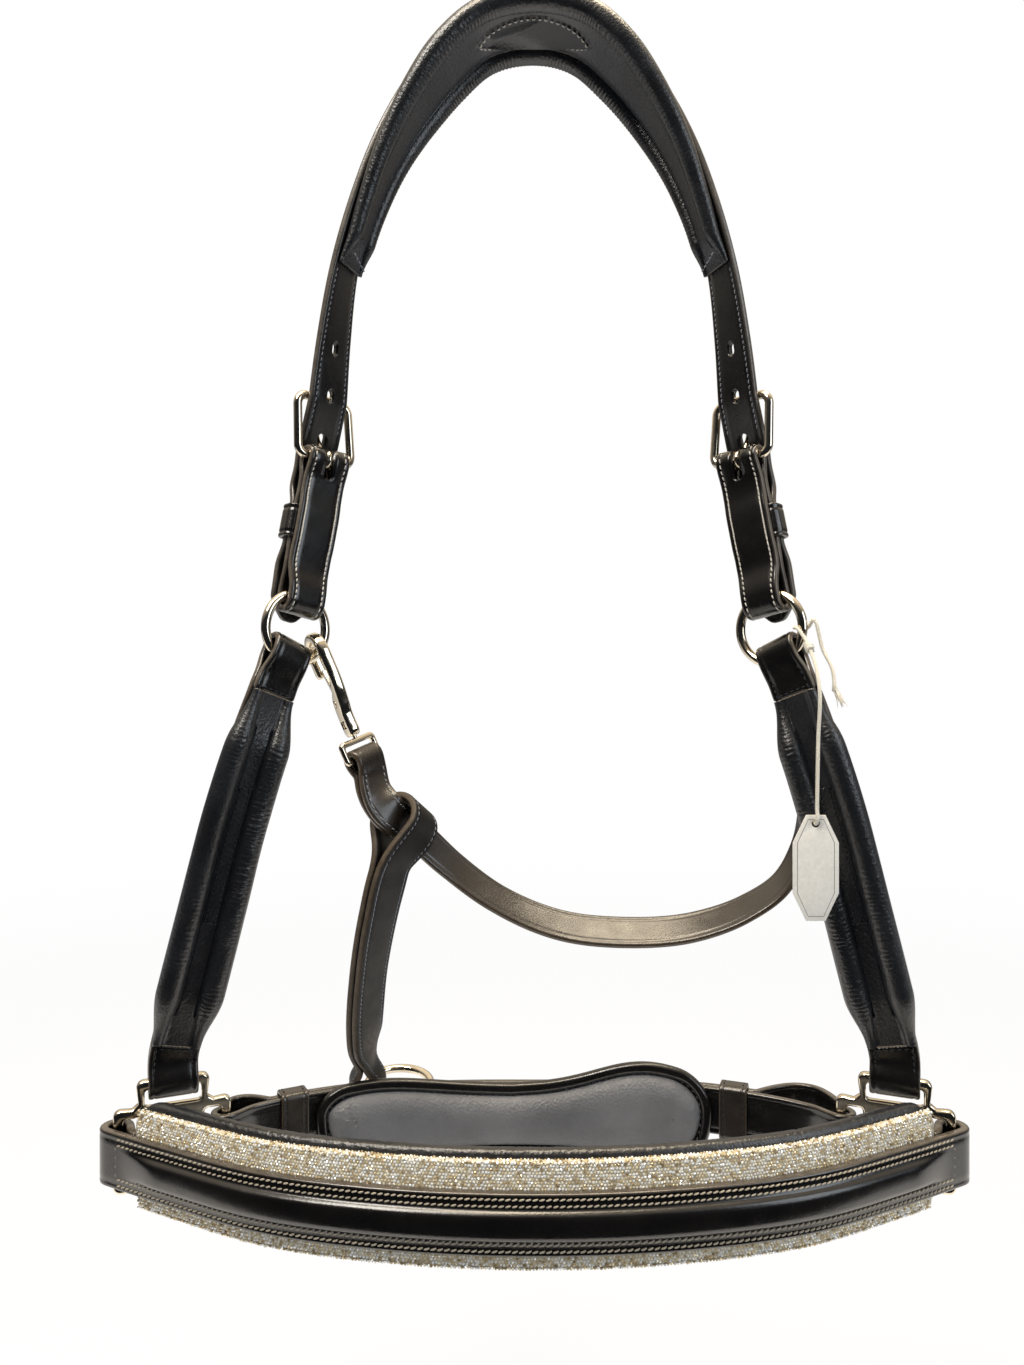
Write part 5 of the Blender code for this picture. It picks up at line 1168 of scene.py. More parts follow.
# A plate with a slot for each strap: the outline and the holes are boxes with rounded corners.
def makeFitting():
    bar, slot, corner, halfEye = fitting["bar"], fitting["slot"], fitting["corner"], fitting["eye"] / 2
    high = halfEye + bar
    reach = fitting["reach"] + bar / 2
    top = high + slot + bar
    topHalf = fitting["topEye"] / 2 + bar * 0.8

    def bulge(x, y, start):
        angle = np.radians(start + np.linspace(0, 90, 8))
        cx, cy = x - corner * math.copysign(1, x), y - corner * math.copysign(1, y)
        return list(zip(cx + corner * np.cos(angle), cy + corner * np.sin(angle)))

    outline = bulge(reach, high, 0) + [(topHalf + 0.0016, high - 0.0004), (topHalf - 0.0008, high + 0.0014)]
    outline += bulge(topHalf, top, 0) + bulge(-topHalf, top, 90)
    outline += [(-topHalf + 0.0008, high + 0.0014), (-topHalf - 0.0016, high - 0.0004)]
    outline += bulge(-reach, high, 90) + bulge(-reach, -high, 180) + bulge(reach, -high, 270)
    side = fitting["reach"] - bar / 2 - slot / 2
    holes = [roundedBox(slot / 2, halfEye, 0.0014, 5, (x, 0.0)) for x in (side, -side)]
    holes.append(roundedBox(fitting["topEye"] / 2, slot / 2, 0.0014, 5, (0.0, high + slot / 2)))
    holes.append(roundedBox(fitting["reach"] - bar / 2 - slot - bar, halfEye, 0.0022, 5))
    out = np.cross([0.0, 0.0, -1.0], fittingAcross)
    matrix = basis(fittingAcross, upward, -out, fitting["centre"])
    mesh = plateMesh([outline] + holes, fitting["thick"], matrix, 0.0013, 4)
    onBoth(dress, "{}_fitting", mesh, "metal", "noseband", 50)


# The raised panel: one ply whose ends turn back round the fittings, swollen between its rows of stitches.
def makePanel():
    back = -panel["ply"] - gap
    right = turnedEnd((sNose, -noseFold), 1, noseFold, 0.0, 0.0, back, noseShape["flare"])
    left = [(-s, n) for s, n in reversed(right)]
    front = [(s, 0.0) for s in span(-sNose + noseShape["flare"], sNose - noseShape["flare"], 0.003)[1:-1]]
    turnIn = layerEnd + 0.0010
    item = ribbonOn(nose, [(-turnIn, back)] + left + front + right + [(turnIn, back)], panel["high"], panel["ply"])
    swell = panel["swell"] * smoothStep((sNose - np.abs(item.s) - 0.008) / 0.022) * (item.n > -0.0012)
    rises = ((0.53, 0.0), (0.475, 0.30), (0.43, 0.58), (0.36, 0.80), (0.22, 0.95))
    dress("noseband_strap", ribbonMesh(item, swell=swell, rises=rises), "leather", "noseband")
    face = stretch(item, 0.006 - sNose, sNose - 0.006, 1, -0.0008)
    rows = [(*face, side, inset, 1) for side in (-1, 1) for inset in panel["insets"]]
    place("noseband_stitching", ribbonStitches(item, rows, **panel["stitch"]), "tanThread", "noseband")
    across = np.linspace(-0.0068, 0.0068, 10)
    for end, label in ((-1, "left"), (1, "right")):
        cross = lineStitches(nose, end * (sNose - 0.0065), panel["ply"] / 2 - 0.0002, across, 0.0028, 1)
        place("noseband_cross_seam_" + label, cross, "tanThread", "noseband")


# A layer behind the panel: its section is a circle whose sine and cosine are raised to powers below one, which
# makes it squarer, drawn in at both ends and wrinkled if it has a seed.
def noseLayer(node, look, shape, top):
    rows, thick, square = shape["rows"], shape["ply"], shape["square"]
    s = np.linspace(-layerEnd, layerEnd, rows)[:, None]
    angle = np.linspace(0, 2 * math.pi, 48, endpoint=False)[None, :]
    near = np.clip((layerEnd - np.abs(s)) / 0.010, 0.0, 1.0)
    drawn = 0.80 + 0.20 * np.sqrt(1 - (1 - near) ** 2)
    wave = ripples(s, angle, shape["seed"], shape["pitch"], shape["depth"]) if "seed" in shape else 0.0
    half = shape["high"] / 2 * drawn - wave
    lobe = np.sign(np.sin(angle)) * np.abs(np.sin(angle)) ** square[0]
    n = top - thick / 2 + thick / 2 * lobe * (0.7 + 0.3 * drawn)
    w = noseBase["rise"] + half * np.sign(np.cos(angle)) * np.abs(np.cos(angle)) ** square[1]
    return dress(node, skin(nose.at(s, n, w)), look, "noseband")


# Crystals set in slightly uneven rows: each is an eight-sided cut stone with a flat table, turned and tipped a
# little, and those on the layer's edges lean outwards.
def makeCrystals(top):
    random = np.random.default_rng(crystals["seed"])
    limit = layerEnd - 0.0012
    pitch, rise, half, panelHalf = crystals["pitch"], noseBase["rise"], noseBase["high"] / 2, panel["high"] / 2
    strips = []

    def addStrip(shift, w, deep):
        spots = np.arange(-limit + shift * pitch / 2, limit, pitch)
        strips.append(np.stack([spots, np.full(len(spots), w), np.full(len(spots), deep)], 1))

    for low, high in ((panelHalf - 0.0012, rise + half - 0.0004), (rise - half + 0.0004, -panelHalf + 0.0012)):
        rows = int((high - low) / (pitch * 0.87)) + 1
        for k in range(rows):
            addStrip(k % 2, low + (high - low) * k / (rows - 1), 0.0)
    for edge in (rise + half, rise - half):
        for k in range(2):
            addStrip(k, edge, -0.0006 - 0.0011 * k)
    grid = np.concatenate(strips)
    grid[:, :2] += random.normal(0, pitch * 0.09, (len(grid), 2))
    s, w, deep = grid.T
    edgeWay = np.where(deep < 0, 1.0, smoothStep((np.abs(w - rise) - half + 0.0016) / 0.0016) * 0.6)
    along, across, out = nose.frame(s)[1:]
    normal = unit(out * (1 - edgeWay)[:, None] + across * (edgeWay * np.sign(w - rise))[:, None]
                  + random.normal(0, crystals["tilt"], (len(s), 3)))
    side = unit(np.cross(normal, along))
    other = np.cross(side, normal)
    spin = random.uniform(0, math.pi / 4, len(s))
    size = (crystals["size"] * random.uniform(0.80, 1.12, len(s)))[:, None, None]
    angle = spin[:, None] + np.linspace(0, 2 * math.pi, 8, endpoint=False)[None, :]
    ringWays = np.cos(angle)[..., None] * side[:, None, :] + np.sin(angle)[..., None] * other[:, None, :]
    centre, normal = nose.at(s, top + deep, w)[:, None, :], normal[:, None, :]
    low = centre + size * ringWays - 0.0002 * normal
    high = centre + 0.56 * size * ringWays + crystals["high"] * normal
    base = (np.arange(len(s)) * 16)[:, None, None]
    k = np.arange(8)
    sides = np.stack([k, (k + 1) % 8, 8 + (k + 1) % 8, 8 + k], 1)[None] + base
    tops = np.array([[8, 9, 10, 11], [11, 12, 13, 8], [13, 14, 15, 8]])[None] + base
    quads = np.concatenate([sides.reshape(-1, 4), tops.reshape(-1, 4)])
    mesh = rawMesh(np.concatenate([low, high], 1).reshape(-1, 3).tolist(), quads.tolist())
    # A random tone for each stone, weighted towards the bright end: partly the stones' own colour and partly
    # painted sparkle.
    addValues(mesh, "tone", np.repeat(random.beta(1.1, 0.9, len(s)), 16))
    place("noseband_crystals", mesh, "crystal", "noseband", smooth=False)


makeFitting()
makePanel()
baseTop = -panel["ply"] / 2 - gap
noseLayer("noseband_base", "crystalCloth", noseBase, baseTop)
lining = noseLayer("noseband_lining", "nappa", noseLining, baseTop - noseBase["ply"] - gap)
makeCrystals(baseTop)
print("noseband made")


# Chin strap, keepers and pad

chinShape = {
    "half": [(0.0, 0.0340), (0.040, 0.0330), (0.080, 0.0262), (0.106, 0.0150)], "width": 0.0200, "end": 0.070,
    "bow": 0.0115, "shift": -0.0080,
}
chinKeeper = {"at": 0.0960, "wide": 0.0115, "ply": 0.0015, "travel": 0.0035, "inset": 0.0017, "groove": 0.00018,
              "round": 0.0005, "stitchPitch": 0.0028}
chinPad = {
    "half": 0.0872, "top": 0.0100, "lobeRight": 0.0100, "lobeLeft": 0.0035, "bottom": 0.0215, "lobeLow": 0.0025,
    "rim": 0.0060, "backing": 0.0030, "ply": 0.0060, "fill": 0.7, "seed": 9, "dents": 60,
}
chinHalf = [(x, y, level) for x, y in chinShape["half"] + [tuple(chinBar[:2])]]
chin = bothHalves(chinHalf, lambda p, side: (0.0, 0.0, -1.0))
sChin = chin.s[-1]


# The strap's turned-back end on one side: round the fitting, out in a bow by half a sine, and flat to its end.
def chinTurnedBack(side):
    fold = fitting["thick"] / 2 + fitting["play"] + ply / 2
    part = turnedEnd((sChin, 0.0), 1, fold, 0.0003, -plyOff, plyOff, 0.0120)
    sew = chinKeeper["at"] + side * chinShape["shift"] + chinKeeper["wide"] / 2 + chinKeeper["travel"]
    tall = chinShape["bow"] * (sChin - sew) / 0.024

    def bow(s):
        return tall * math.sin(math.pi * min(1.0, max(0.0, (sChin - s) / (sChin - sew))))

    route = [(s, n + (bow(s) if n > 0.0 and s < sChin else 0.0)) for s, n in part]
    route += [(s, plyOff + bow(s)) for s in span(route[-1][0], sew, 0.0015)[1:]]
    return route + [(s, plyOff) for s in span(sew - 0.003, chinShape["end"], 0.003)]


def makeChinStrap():
    right = chinTurnedBack(1)
    left = [(-s, n) for s, n in reversed(chinTurnedBack(-1))]
    middle = [(s, -plyOff) for s in span(left[-1][0], right[0][0], 0.003)[1:-1]]
    item = ribbonOn(chin, left + middle + right, chinShape["width"], ply)
    dress("chin_strap", ribbonMesh(item), "leather", "noseband")
    sewLeft, sewRight = (chinKeeper["at"] + side * chinShape["shift"] + 0.009 for side in (-1, 1))
    rows = bothEdges([
        stretch(item, 0.008 - sChin, sChin - 0.008, -1, 0.0010),
        stretch(item, -sewLeft, 0.0, 1, trim=(0.001, 0.0)), stretch(item, 0.0, sewRight, 1, trim=(0.0, 0.001)),
    ])
    place("chin_strap_stitching", ribbonStitches(item, rows, thread["fine"]), "darkThread", "noseband")


def makeChinKeepers():
    low = -plyOff - ply / 2 - keeper["clear"]
    halfWidth = chinShape["width"] / 2 + keeper["clear"]
    for side, label in ((1, "right"), (-1, "left")):
        body = label + "_chin_loop"
        loop = loopRibbon(chin, side * chinKeeper["at"] + chinShape["shift"], low, -low, halfWidth,
                          chinKeeper["ply"], chinKeeper["ply"], chinKeeper["wide"])
        mesh = ribbonMesh(loop, chinKeeper["inset"], chinKeeper["groove"], 0.0, chinKeeper["round"])
        dress(label + "_chin_keeper", mesh, "brown", body)
        rows = [(0.0, loop.u[-1], edge, chinKeeper["inset"], 1) for edge in (-1, 1)]
        seam = ribbonStitches(loop, rows, pitch=chinKeeper["stitchPitch"])
        place(label + "_chin_keeper_stitching", seam, "darkThread", body)


# The pad's outline: heights above and below its line, with bell-shaped lobes, a dip between them and round ends.
def chinEdge(s, inset):
    t = np.clip(np.abs(s) / (chinPad["half"] - inset), 0.0, 1.0)
    lobe = np.exp(-(((np.abs(s) - 0.058) / 0.030) ** 2))
    corner = np.sqrt(np.maximum(0.0, 1 - np.maximum(0.0, (t - 0.82) / 0.18) ** 2.4))
    rise = np.where(s > 0, chinPad["lobeRight"], chinPad["lobeLeft"])
    top = np.maximum((chinPad["top"] + rise * lobe - inset) * corner, 0.0)
    bottom = np.maximum((chinPad["bottom"] + chinPad["lobeLow"] * lobe - inset) * corner, 0.0)
    return top, bottom


# A cushion over an outline: rings shrink from the outline to its middle line and are lifted by the distance from
# the edge; more rings, each given by how far it drops and how far it draws in, close it behind.
def padForm(inset, back, liftOf, sunk):
    reach = chinPad["half"] - inset
    s = reach * np.sin(np.linspace(-math.pi / 2, math.pi / 2, 121))
    top, bottom = chinEdge(s, inset)
    lean, middle = np.clip(s, -(reach - 0.012), reach - 0.012), (bottom - top) / 2
    pairs = ((s, s), (-top, bottom), (lean, lean), (middle, middle))
    outS, outW, inS, inW = (np.concatenate([there, back[::-1][1:-1]]) for there, back in pairs)
    far = np.hypot(outS - inS, outW - inW)

    def spotsAt(share):
        return inS + (outS - inS) * share, inW + (outW - inW) * share

    share = np.linspace(0, 1, 26)[:, None] ** 0.7
    spotS, spotW = spotsAt(share)
    lifted = back - liftOf(far * (1 - share), spotS, spotW)
    rings = [chin.at(spotS + chinShape["shift"], lifted, spotW).reshape(-1, 3)]
    for drop, draw in sunk:
        spotS, spotW = spotsAt(1 - draw / np.maximum(far, 0.004))
        rings.append(chin.at(spotS + chinShape["shift"], back + drop, spotW))
    columns, rows = len(outS), 26 + len(sunk)
    cap = range((rows - 1) * columns, rows * columns)
    mesh = cleaned(meshFrom(np.concatenate(rings), gridFaces(rows, columns), [cap]), 0.00002)
    return mesh, spotsAt, far


def makeChinPad():
    back = -plyOff - ply / 2 - gap
    front = back - chinPad["backing"]

    # Flat in the middle, a round roll along the edge.
    def rimLift(d, s, w):
        roll = np.sqrt(np.maximum(0.0, 1 - ((np.clip(d, 0, 0.0052) - 0.0026) / 0.0026) ** 2))
        return chinPad["backing"] * 0.62 + 0.0019 * roll * (d < 0.0053)

    sunk = [(-0.0010, 0.0000), (-0.0003, 0.0004), (0.0, 0.0012)]
    mesh, spotsAt, far = padForm(0.0, back, rimLift, sunk)
    dress("chin_pad_backing", mesh, "leather", "noseband")

    random = np.random.default_rng(chinPad["seed"])
    count = chinPad["dents"]
    spots = np.stack([random.uniform(-0.078, 0.078, count), random.uniform(-0.014, 0.014, count)], 1)
    turn = random.uniform(-0.5, 0.5, count)
    long = random.uniform(0.003, 0.008, count)
    deep = random.uniform(0.00005, 0.00022, count)

    # A cushion with a round edge, less small slanted dents, each a bell that is long one way.
    def padLift(d, s, w):
        lift = chinPad["ply"] * (1 - (1 - np.clip(d / 0.0115, 0, 1)) ** 2.4) ** 0.62
        total = np.zeros(np.broadcast(s, w).shape)
        for k in range(count):
            x = (s - spots[k, 0]) * np.cos(turn[k]) + (w - spots[k, 1]) * np.sin(turn[k])
            y = -(s - spots[k, 0]) * np.sin(turn[k]) + (w - spots[k, 1]) * np.cos(turn[k])
            total = total + deep[k] * np.exp(-((x / 0.0011) ** 2) - (y / long[k]) ** 2)
        return lift - total * np.clip(d / 0.002, 0, 1)

    mesh = padForm(chinPad["rim"] * 0.86, front + 0.0010, padLift, [(0.0002, 0.0003), (0.0006, 0.0010)])[0]
    piece = dress("chin_pad", mesh, "grey", "noseband")
    s, w = (np.append(row, row[0]) for row in spotsAt(1 - 0.0050 / np.maximum(far, 0.006)))
    row = lineStitches(chin, s + chinShape["shift"], back - chinPad["backing"] * 0.62 - 0.0003, w, 0.0030)
    place("chin_pad_stitching", row, "greyThread", "noseband")


# Lead ring and its hanger

leadRing = {"at": -0.0575, "radius": 0.0142, "rise": 6, "wire": 0.0019}
hanger = {"long": 0.0100, "ply": 0.0015, "clear": 0.0015, "footHalf": 0.0085, "footHigh": 0.0012}


# The hanger's section is an arch over the ring's wire with a flat foot on each side.
def makeLeadRing():
    foot = -plyOff + ply / 2 + gap
    bore = leadRing["wire"] + hanger["clear"]
    middle = foot + hanger["ply"] + bore
    along, across, out = chin.frame(leadRing["at"])[1:]
    rise = math.radians(leadRing["rise"])
    ringWay = out * math.cos(rise) + np.array(upward) * math.sin(rise)
    centre = chin.at(leadRing["at"], middle) + ringWay * leadRing["radius"]
    dress("chin_ring", ringMesh(centre, np.cross(along, ringWay), leadRing), "metal", "lead_ring")
    angle = np.radians(np.linspace(-30, 210, 30))
    reach = bore + hanger["ply"]
    half, high = hanger["footHalf"], foot + hanger["footHigh"]
    outer = list(zip(reach * np.cos(angle), middle + reach * np.sin(angle)))
    outer += [(-half, high), (-half, foot), (half, foot), (half, high)]
    matrix = throughStrap(chin, leadRing["at"])
    mesh = plateMesh([outer, circle(bore, 32, (0.0, middle))], hanger["long"], matrix, 0.0004, 2)
    dress("chin_ring_hanger", mesh, "leather", "noseband", 45)
    return centre, along, ringWay


makeChinStrap()
makeChinKeepers()
makeChinPad()
leadCentre, chinAlong, leadWay = makeLeadRing()


# Snap hook on the left ring. Its plane holds the directions across and down.

snap = {
    "at": (-0.0884, 0.0066, -0.2557), "down": (0.398, 0.0, -0.917), "face": (0.830, 0.490, 0.261),
    "thick": 0.0048, "bend": 0.0066, "wire": 0.0019, "nose": 0.0090, "boss": 0.0362,
    "window": (0.0292, 0.0325), "stem": 0.0009, "head": 0.0019, "rivet": (0.0004, 0.0215), "rivetRadius": 0.0013,
    "gate": 0.0018, "gateTip": (-0.0027, 0.0062), "gateHalf": 0.0011, "gateSlot": 0.0062,
}
eye = {"top": 0.0372, "bar": 0.0025, "slot": 0.0052, "turn": 25}
lashShape = {"width": 0.0150, "ply": 0.0026, "doubled": 0.0330, "sewn": 0.0260}
snapDown = unit(np.array(snap["down"]))
snapFace = np.array(snap["face"])
snapFace = unit(snapFace - np.dot(snapFace, snapDown) * snapDown)
snapAcross = np.cross(snapDown, snapFace)
eyeTurn = math.radians(eye["turn"])
eyeFace = snapFace * math.cos(eyeTurn) - snapAcross * math.sin(eyeTurn)


# A spot in the snap's plane: its own place plus so much across and so much down.
def snapPoint(across, down):
    return np.array(snap["at"]) + across * snapAcross + down * snapDown


def snapMatrix(across=0.0, down=0.0, first=snapAcross):
    return basis(first, -snapDown, np.cross(first, -snapDown), snapPoint(across, down))


# The outline of a band given by its middle line and half widths: smooth middle points and the same half width
# to both sides of them.
def bandOutline(path):
    path = np.array(path, float)
    run = lengthAlong(path[:, :2])
    path = smoothThrough(path, run, np.linspace(0, run[-1], 90))
    way = unit(np.gradient(path[:, :2], axis=0))
    side = np.stack([-way[:, 1], way[:, 0]], 1) * path[:, 2:3]
    return [tuple(p) for p in np.concatenate([path[:, :2] + side, (path[:, :2] - side)[::-1]])]


# The hook's middle line goes from its nose round the bend to the boss; slots for the gate and the swivel's head,
# and holes for the rivet and the stem, are cut out.
def makeSnapHook():
    w, bend, down, thick = snap["wire"], snap["bend"], snap["rivet"][1], snap["thick"]
    path = [(-bend, -snap["nose"], w * 0.55), (-bend, -snap["nose"] + 0.0006, w * 0.85)]
    path += [(-bend, -snap["nose"] + 0.0020, w), (-bend, -0.0030, w)]
    turns = [math.pi * (1 - k / 12) for k in range(1, 12)]
    path += [(bend * math.cos(angle), 0.0010 + bend * math.sin(angle), w) for angle in turns]
    path += [(bend, -0.0045, w), (bend * 0.98, -0.50 * down, w), (0.0047, -0.76 * down, 0.0027)]
    path += [(0.0018, -0.99 * down, 0.0041), (0.0003, -1.20 * down, 0.0039), (0.0, -1.42 * down, 0.0038)]
    path += [(0.0, -snap["boss"] + 0.0010, 0.0034), (0.0, -snap["boss"], 0.0026)]
    root = snap["rivetRadius"] * 2 + 2 * gap
    gateMiddle = snapMatrix(snap["rivet"][0] + root + gap - 0.0060, down + root + gap - snap["gateSlot"])
    window = roundedBox(snap["head"] + 0.0005, (snap["window"][1] - snap["window"][0]) / 2, 0.0004, 4)
    tools = [
        plateMesh([roundedBox(0.0060, snap["gateSlot"], 0.0012, 4)], snap["gate"] + 2 * gap, gateMiddle),
        plateMesh([window], 2 * thick, snapMatrix(0.0, sum(snap["window"]) / 2)),
        plateMesh([circle(snap["rivetRadius"] + gap)], 2 * thick, snapMatrix(*snap["rivet"])),
        plateMesh([circle(snap["stem"] + gap)], 0.008, snapMatrix(0.0, snap["boss"]) @ quarterTurn),
    ]
    mesh = plateMesh([bandOutline(path)], thick, snapMatrix(), 0.0015, 4)
    dress("snap_hook", cutWith(mesh, tools), "metal", "snap", 50)


# The gate: a round root about the rivet and straight sides to a tip with cut corners.
def makeSnapGate():
    start = np.array([snap["rivet"][0], -snap["rivet"][1]])
    tip = np.array([snap["gateTip"][0], -snap["gateTip"][1]])
    way = unit(tip - start)
    side = np.array([-way[1], way[0]])
    root = snap["rivetRadius"] * 2 + gap
    half = snap["gateHalf"]
    angle = np.radians(np.linspace(40, 320, 24))
    outline = [tuple(start + root * (math.cos(a) * way + math.sin(a) * side)) for a in angle]
    ends = [start + 0.0045 * way - half * side, tip - 0.0008 * way - half * side, tip - half * 0.5 * side]
    ends += [tip + half * 0.5 * side, tip - 0.0008 * way + half * side, start + 0.0045 * way + half * side]
    outline += [tuple(p) for p in ends]
    hole = circle(snap["rivetRadius"] + gap, 24, tuple(start))
    dress("snap_gate", plateMesh([outline, hole], snap["gate"], snapMatrix(), 0.0004, 3), "metal", "gate", 50)
    rivet = plateMesh([circle(snap["rivetRadius"])], snap["thick"] + 0.0006, snapMatrix(*snap["rivet"]), 0.0005, 4)
    dress("snap_rivet", rivet, "metal", "snap", 50)


# The swivel eye for the throatlash, with its stem through the boss and its head in the window.
def makeSnapEye():
    half, high = lashShape["width"] / 2 + 0.0008, eye["slot"] + 2 * eye["bar"]
    outlines = [roundedBox(half + eye["bar"] * 0.9, high / 2, 0.0026, 8), roundedBox(half, eye["slot"] / 2, 0.0011)]
    mesh = plateMesh(outlines, eye["bar"], snapMatrix(0.0, eye["top"] + high / 2, eyeFace), 0.0010, 4)
    dress("snap_eye", mesh, "metal", "cheeks", 60)
    headDown = snap["window"][0] + gap
    headLong = snap["window"][1] - snap["window"][0] - 2 * gap
    stemLong = eye["top"] + eye["bar"] / 2 - headDown - headLong / 2
    for label, long, down, ease, resolution in (
        ("stem", stemLong, headDown + headLong / 2 + stemLong / 2, 0.0001, 1),
        ("head", headLong, headDown + headLong / 2, 0.0003, 2),
    ):
        matrix = snapMatrix(0.0, down) @ quarterTurn
        mesh = plateMesh([circle(snap[label], 24)], long, matrix, ease, resolution)
        place("snap_swivel_" + label, mesh, "metal", "cheeks", None, 50)


makeSnapHook()
makeSnapGate()
makeSnapEye()


# Throatlash and throat strap

throatShape = {
    "width": 0.0190, "footWidth": 0.0150, "ply": 0.0030, "loop": 0.0084, "taper": 0.0200, "foot": 0.0056,
    "axis": (0.42, 0.74, -0.52), "at": (-0.0540, 0.0125, -0.3268),
}
throatAxis = unit(np.array(throatShape["axis"]))
throatLoop = np.array(throatShape["at"])


# The throatlash: doubled round the snap's eye, through the throat strap's loop, across and up to the right cheek.
def makeLash():
    off = lashShape["ply"] / 2 + gap / 2
    start = snapPoint(0.0, eye["top"] + eye["bar"] * 1.5 + eye["slot"])
    cheekBack = plyOff + ply / 2 + 4 * gap + lashShape["ply"] / 2 + off
    sewn = [lashShape["sewn"] + reach for reach in (0.028, 0.014, 0.0)]
    route = [
        (start, eyeFace), (start + 0.006 * snapDown, eyeFace), ((-0.0652, 0.0046, -0.3118), (0.50, 0.70, 0.35)),
        (throatLoop - 0.0125 * throatAxis, (0.30, 0.42, 0.85)), (throatLoop, (0.30, 0.42, 0.85)),
        (throatLoop + 0.0115 * throatAxis, (0.25, 0.50, 0.83)), ((-0.0360, 0.0262, -0.3462), (0.12, 0.66, 0.74)),
        ((-0.0156, 0.0260, -0.3612), (0.0, 0.75, 0.66)), ((0.0120, 0.0235, -0.3722), (0.0, 0.75, 0.66)),
        ((0.0392, 0.0215, -0.3748), (0.0, 0.75, 0.66)), ((0.0699, 0.0200, -0.3720), (0.0, 0.80, 0.60)),
        ((0.0910, 0.0185, -0.3641), (0.0, 0.86, 0.50)), ((0.1064, 0.0175, -0.3531), (-0.05, 0.93, 0.36)),
        ((0.1150, 0.0165, -0.3367), (-0.15, 0.97, 0.15)), ((0.1175, 0.0105, -0.3180), (-0.35, 0.90, 0.10)),
    ] + [(cheek.at(s, cheekBack), cheek.frame(s)[2]) for s in sewn]
    lash = Line(*zip(*route))
    total, doubled = lash.s[-1], lashShape["doubled"]
    fold = eye["bar"] * 0.62 + 0.0007 + lashShape["ply"] / 2
    eyeEnd = turnedEnd((0.0, 0.0), -1, fold, 0.0, -off, off, 0.009)
    back = [(s, -off) for s in span(doubled, 0.009, 0.002)[:-1]]
    front = [(s, off) for s in span(0.009, total, 0.002)[1:]]
    item = ribbonOn(lash, back + eyeEnd + front, lashShape["width"], lashShape["ply"])
    dress("throatlash", ribbonMesh(item), "lash", "cheeks")
    inner, outer = stretch(item, 0.005, total, -1, trim=(0.001, 0.0)), stretch(item, 0.005, doubled, 1)
    last = stretch(item, total - 0.024, total + 1.0, 1, trim=(0.0, 0.001))
    rows = bothEdges([inner, outer]) + bothEdges([last], (-1,))
    place("throatlash_stitching", ribbonStitches(item, rows, thread["fine"]), "greyThread", "cheeks")


# The throat strap: two plies that part into a loop round the throatlash above and round the lead ring below.
def makeThroatStrap(ringAt, chinAlong, ringWay):
    ringSide = ringAt - chinAlong * leadRing["radius"]
    down = unit(np.array([0.0, 0.0, -1.0]) + throatAxis[2] * throatAxis)
    route = [
        (throatLoop, throatAxis), (throatLoop + 0.0160 * down, throatAxis),
        ((-0.0632, 0.0070, -0.3600), (0.50, 0.80, -0.20)), ((-0.0690, 0.0160, -0.3880), (0.50, 0.86, 0.0)),
        ((-0.0728, 0.0300, -0.4180), (0.42, 0.90, 0.0)),
        ((ringSide[0], ringSide[1] - 0.0035, ringSide[2] + 0.0120), (0.05, 0.99, 0.0)), (ringSide, ringWay),
    ]
    line = Line(*zip(*route))
    total, thick, high = line.s[-1], throatShape["ply"], throatShape["taper"]
    off = thick / 2 + gap / 2
    top = turnedEnd((0.0, 0.0), -1, throatShape["loop"] + thick / 2, 0.0, -off, off, high)
    foot = turnedEnd((total, 0.0), 1, throatShape["foot"] + thick / 2, 0.0, off, -off, 0.013)
    outer = [(s, off) for s in span(high, total - 0.013, 0.002)[1:-1]]
    inner = [(s, -n) for s, n in reversed(outer)]
    width = taper(throatShape["width"], throatShape["footWidth"], total - 0.030, total - 0.008)
    item = ribbonOn(line, top + outer + foot + inner, width, thick, closed=True, soften=0.0012)
    dress("throat_strap", ribbonMesh(item), "strapBack", "throat")
    rows = bothEdges([stretch(item, high - 0.003, total - 0.012, side) for side in (1, -1)])
    place("throat_strap_stitching", ribbonStitches(item, rows, thread["thin"]), "greyThread", "throat")


makeLash()
makeThroatStrap(leadCentre, chinAlong, leadWay)
print("straps and snap made")


# Hang tag and its twisted string

tag = {
    "at": (0.1058, -0.0290, -0.3170), "width": 0.0174, "high": 0.0400, "thick": 0.0006, "hole": 0.0016,
    "holeDown": 0.0032, "cut": 0.0105, "border": 0.0016, "borderWide": 0.00025,
}
string = {
    "radius": 0.0008, "strand": 0.00044, "twist": 0.0034,
    "route": [
        (0.11647, -0.01847, -0.2702), (0.11627, -0.01647, -0.2622), (0.11367, -0.01297, -0.2542),
        (0.11023, -0.01068, -0.24231), (0.10892, -0.00791, -0.2452), (0.10619, -0.00678, -0.24516),
        (0.1037, -0.00837, -0.24515), (0.10357, -0.01132, -0.24518), (0.10519, -0.01401, -0.24816),
        (0.10667, -0.02047, -0.2552), (0.107, -0.0295, -0.2682), (0.1062, -0.0307, -0.2892),
        (0.1058, -0.0307, -0.3142), (0.1058, -0.0307, -0.319), (0.1058, -0.029, -0.3203),
        (0.1058, -0.0273, -0.319), (0.1058, -0.0271, -0.3176),
    ],
}
knot = {"at": (0.1064, -0.0190, -0.2535), "turns": 2.6, "long": 0.0030, "radius": 0.00125, "wire": 0.00062}
tassel = {"count": 26, "seed": 17, "way": (0.36, -0.34, -1.0), "spread": 0.12, "long": (0.0045, 0.0085)}


# The card's outline drawn in by inset: a rectangle with its corners cut.
def tagOutline(inset):
    a, b = tag["width"] / 2 - inset, inset - tag["high"]
    cut = tag["cut"] - tag["high"]
    return [(a * 0.42, -inset), (-a * 0.42, -inset), (-a, -tag["cut"]), (-a, cut), (-a * 0.42, b), (a * 0.42, b),
            (a, cut), (a, -tag["cut"])]


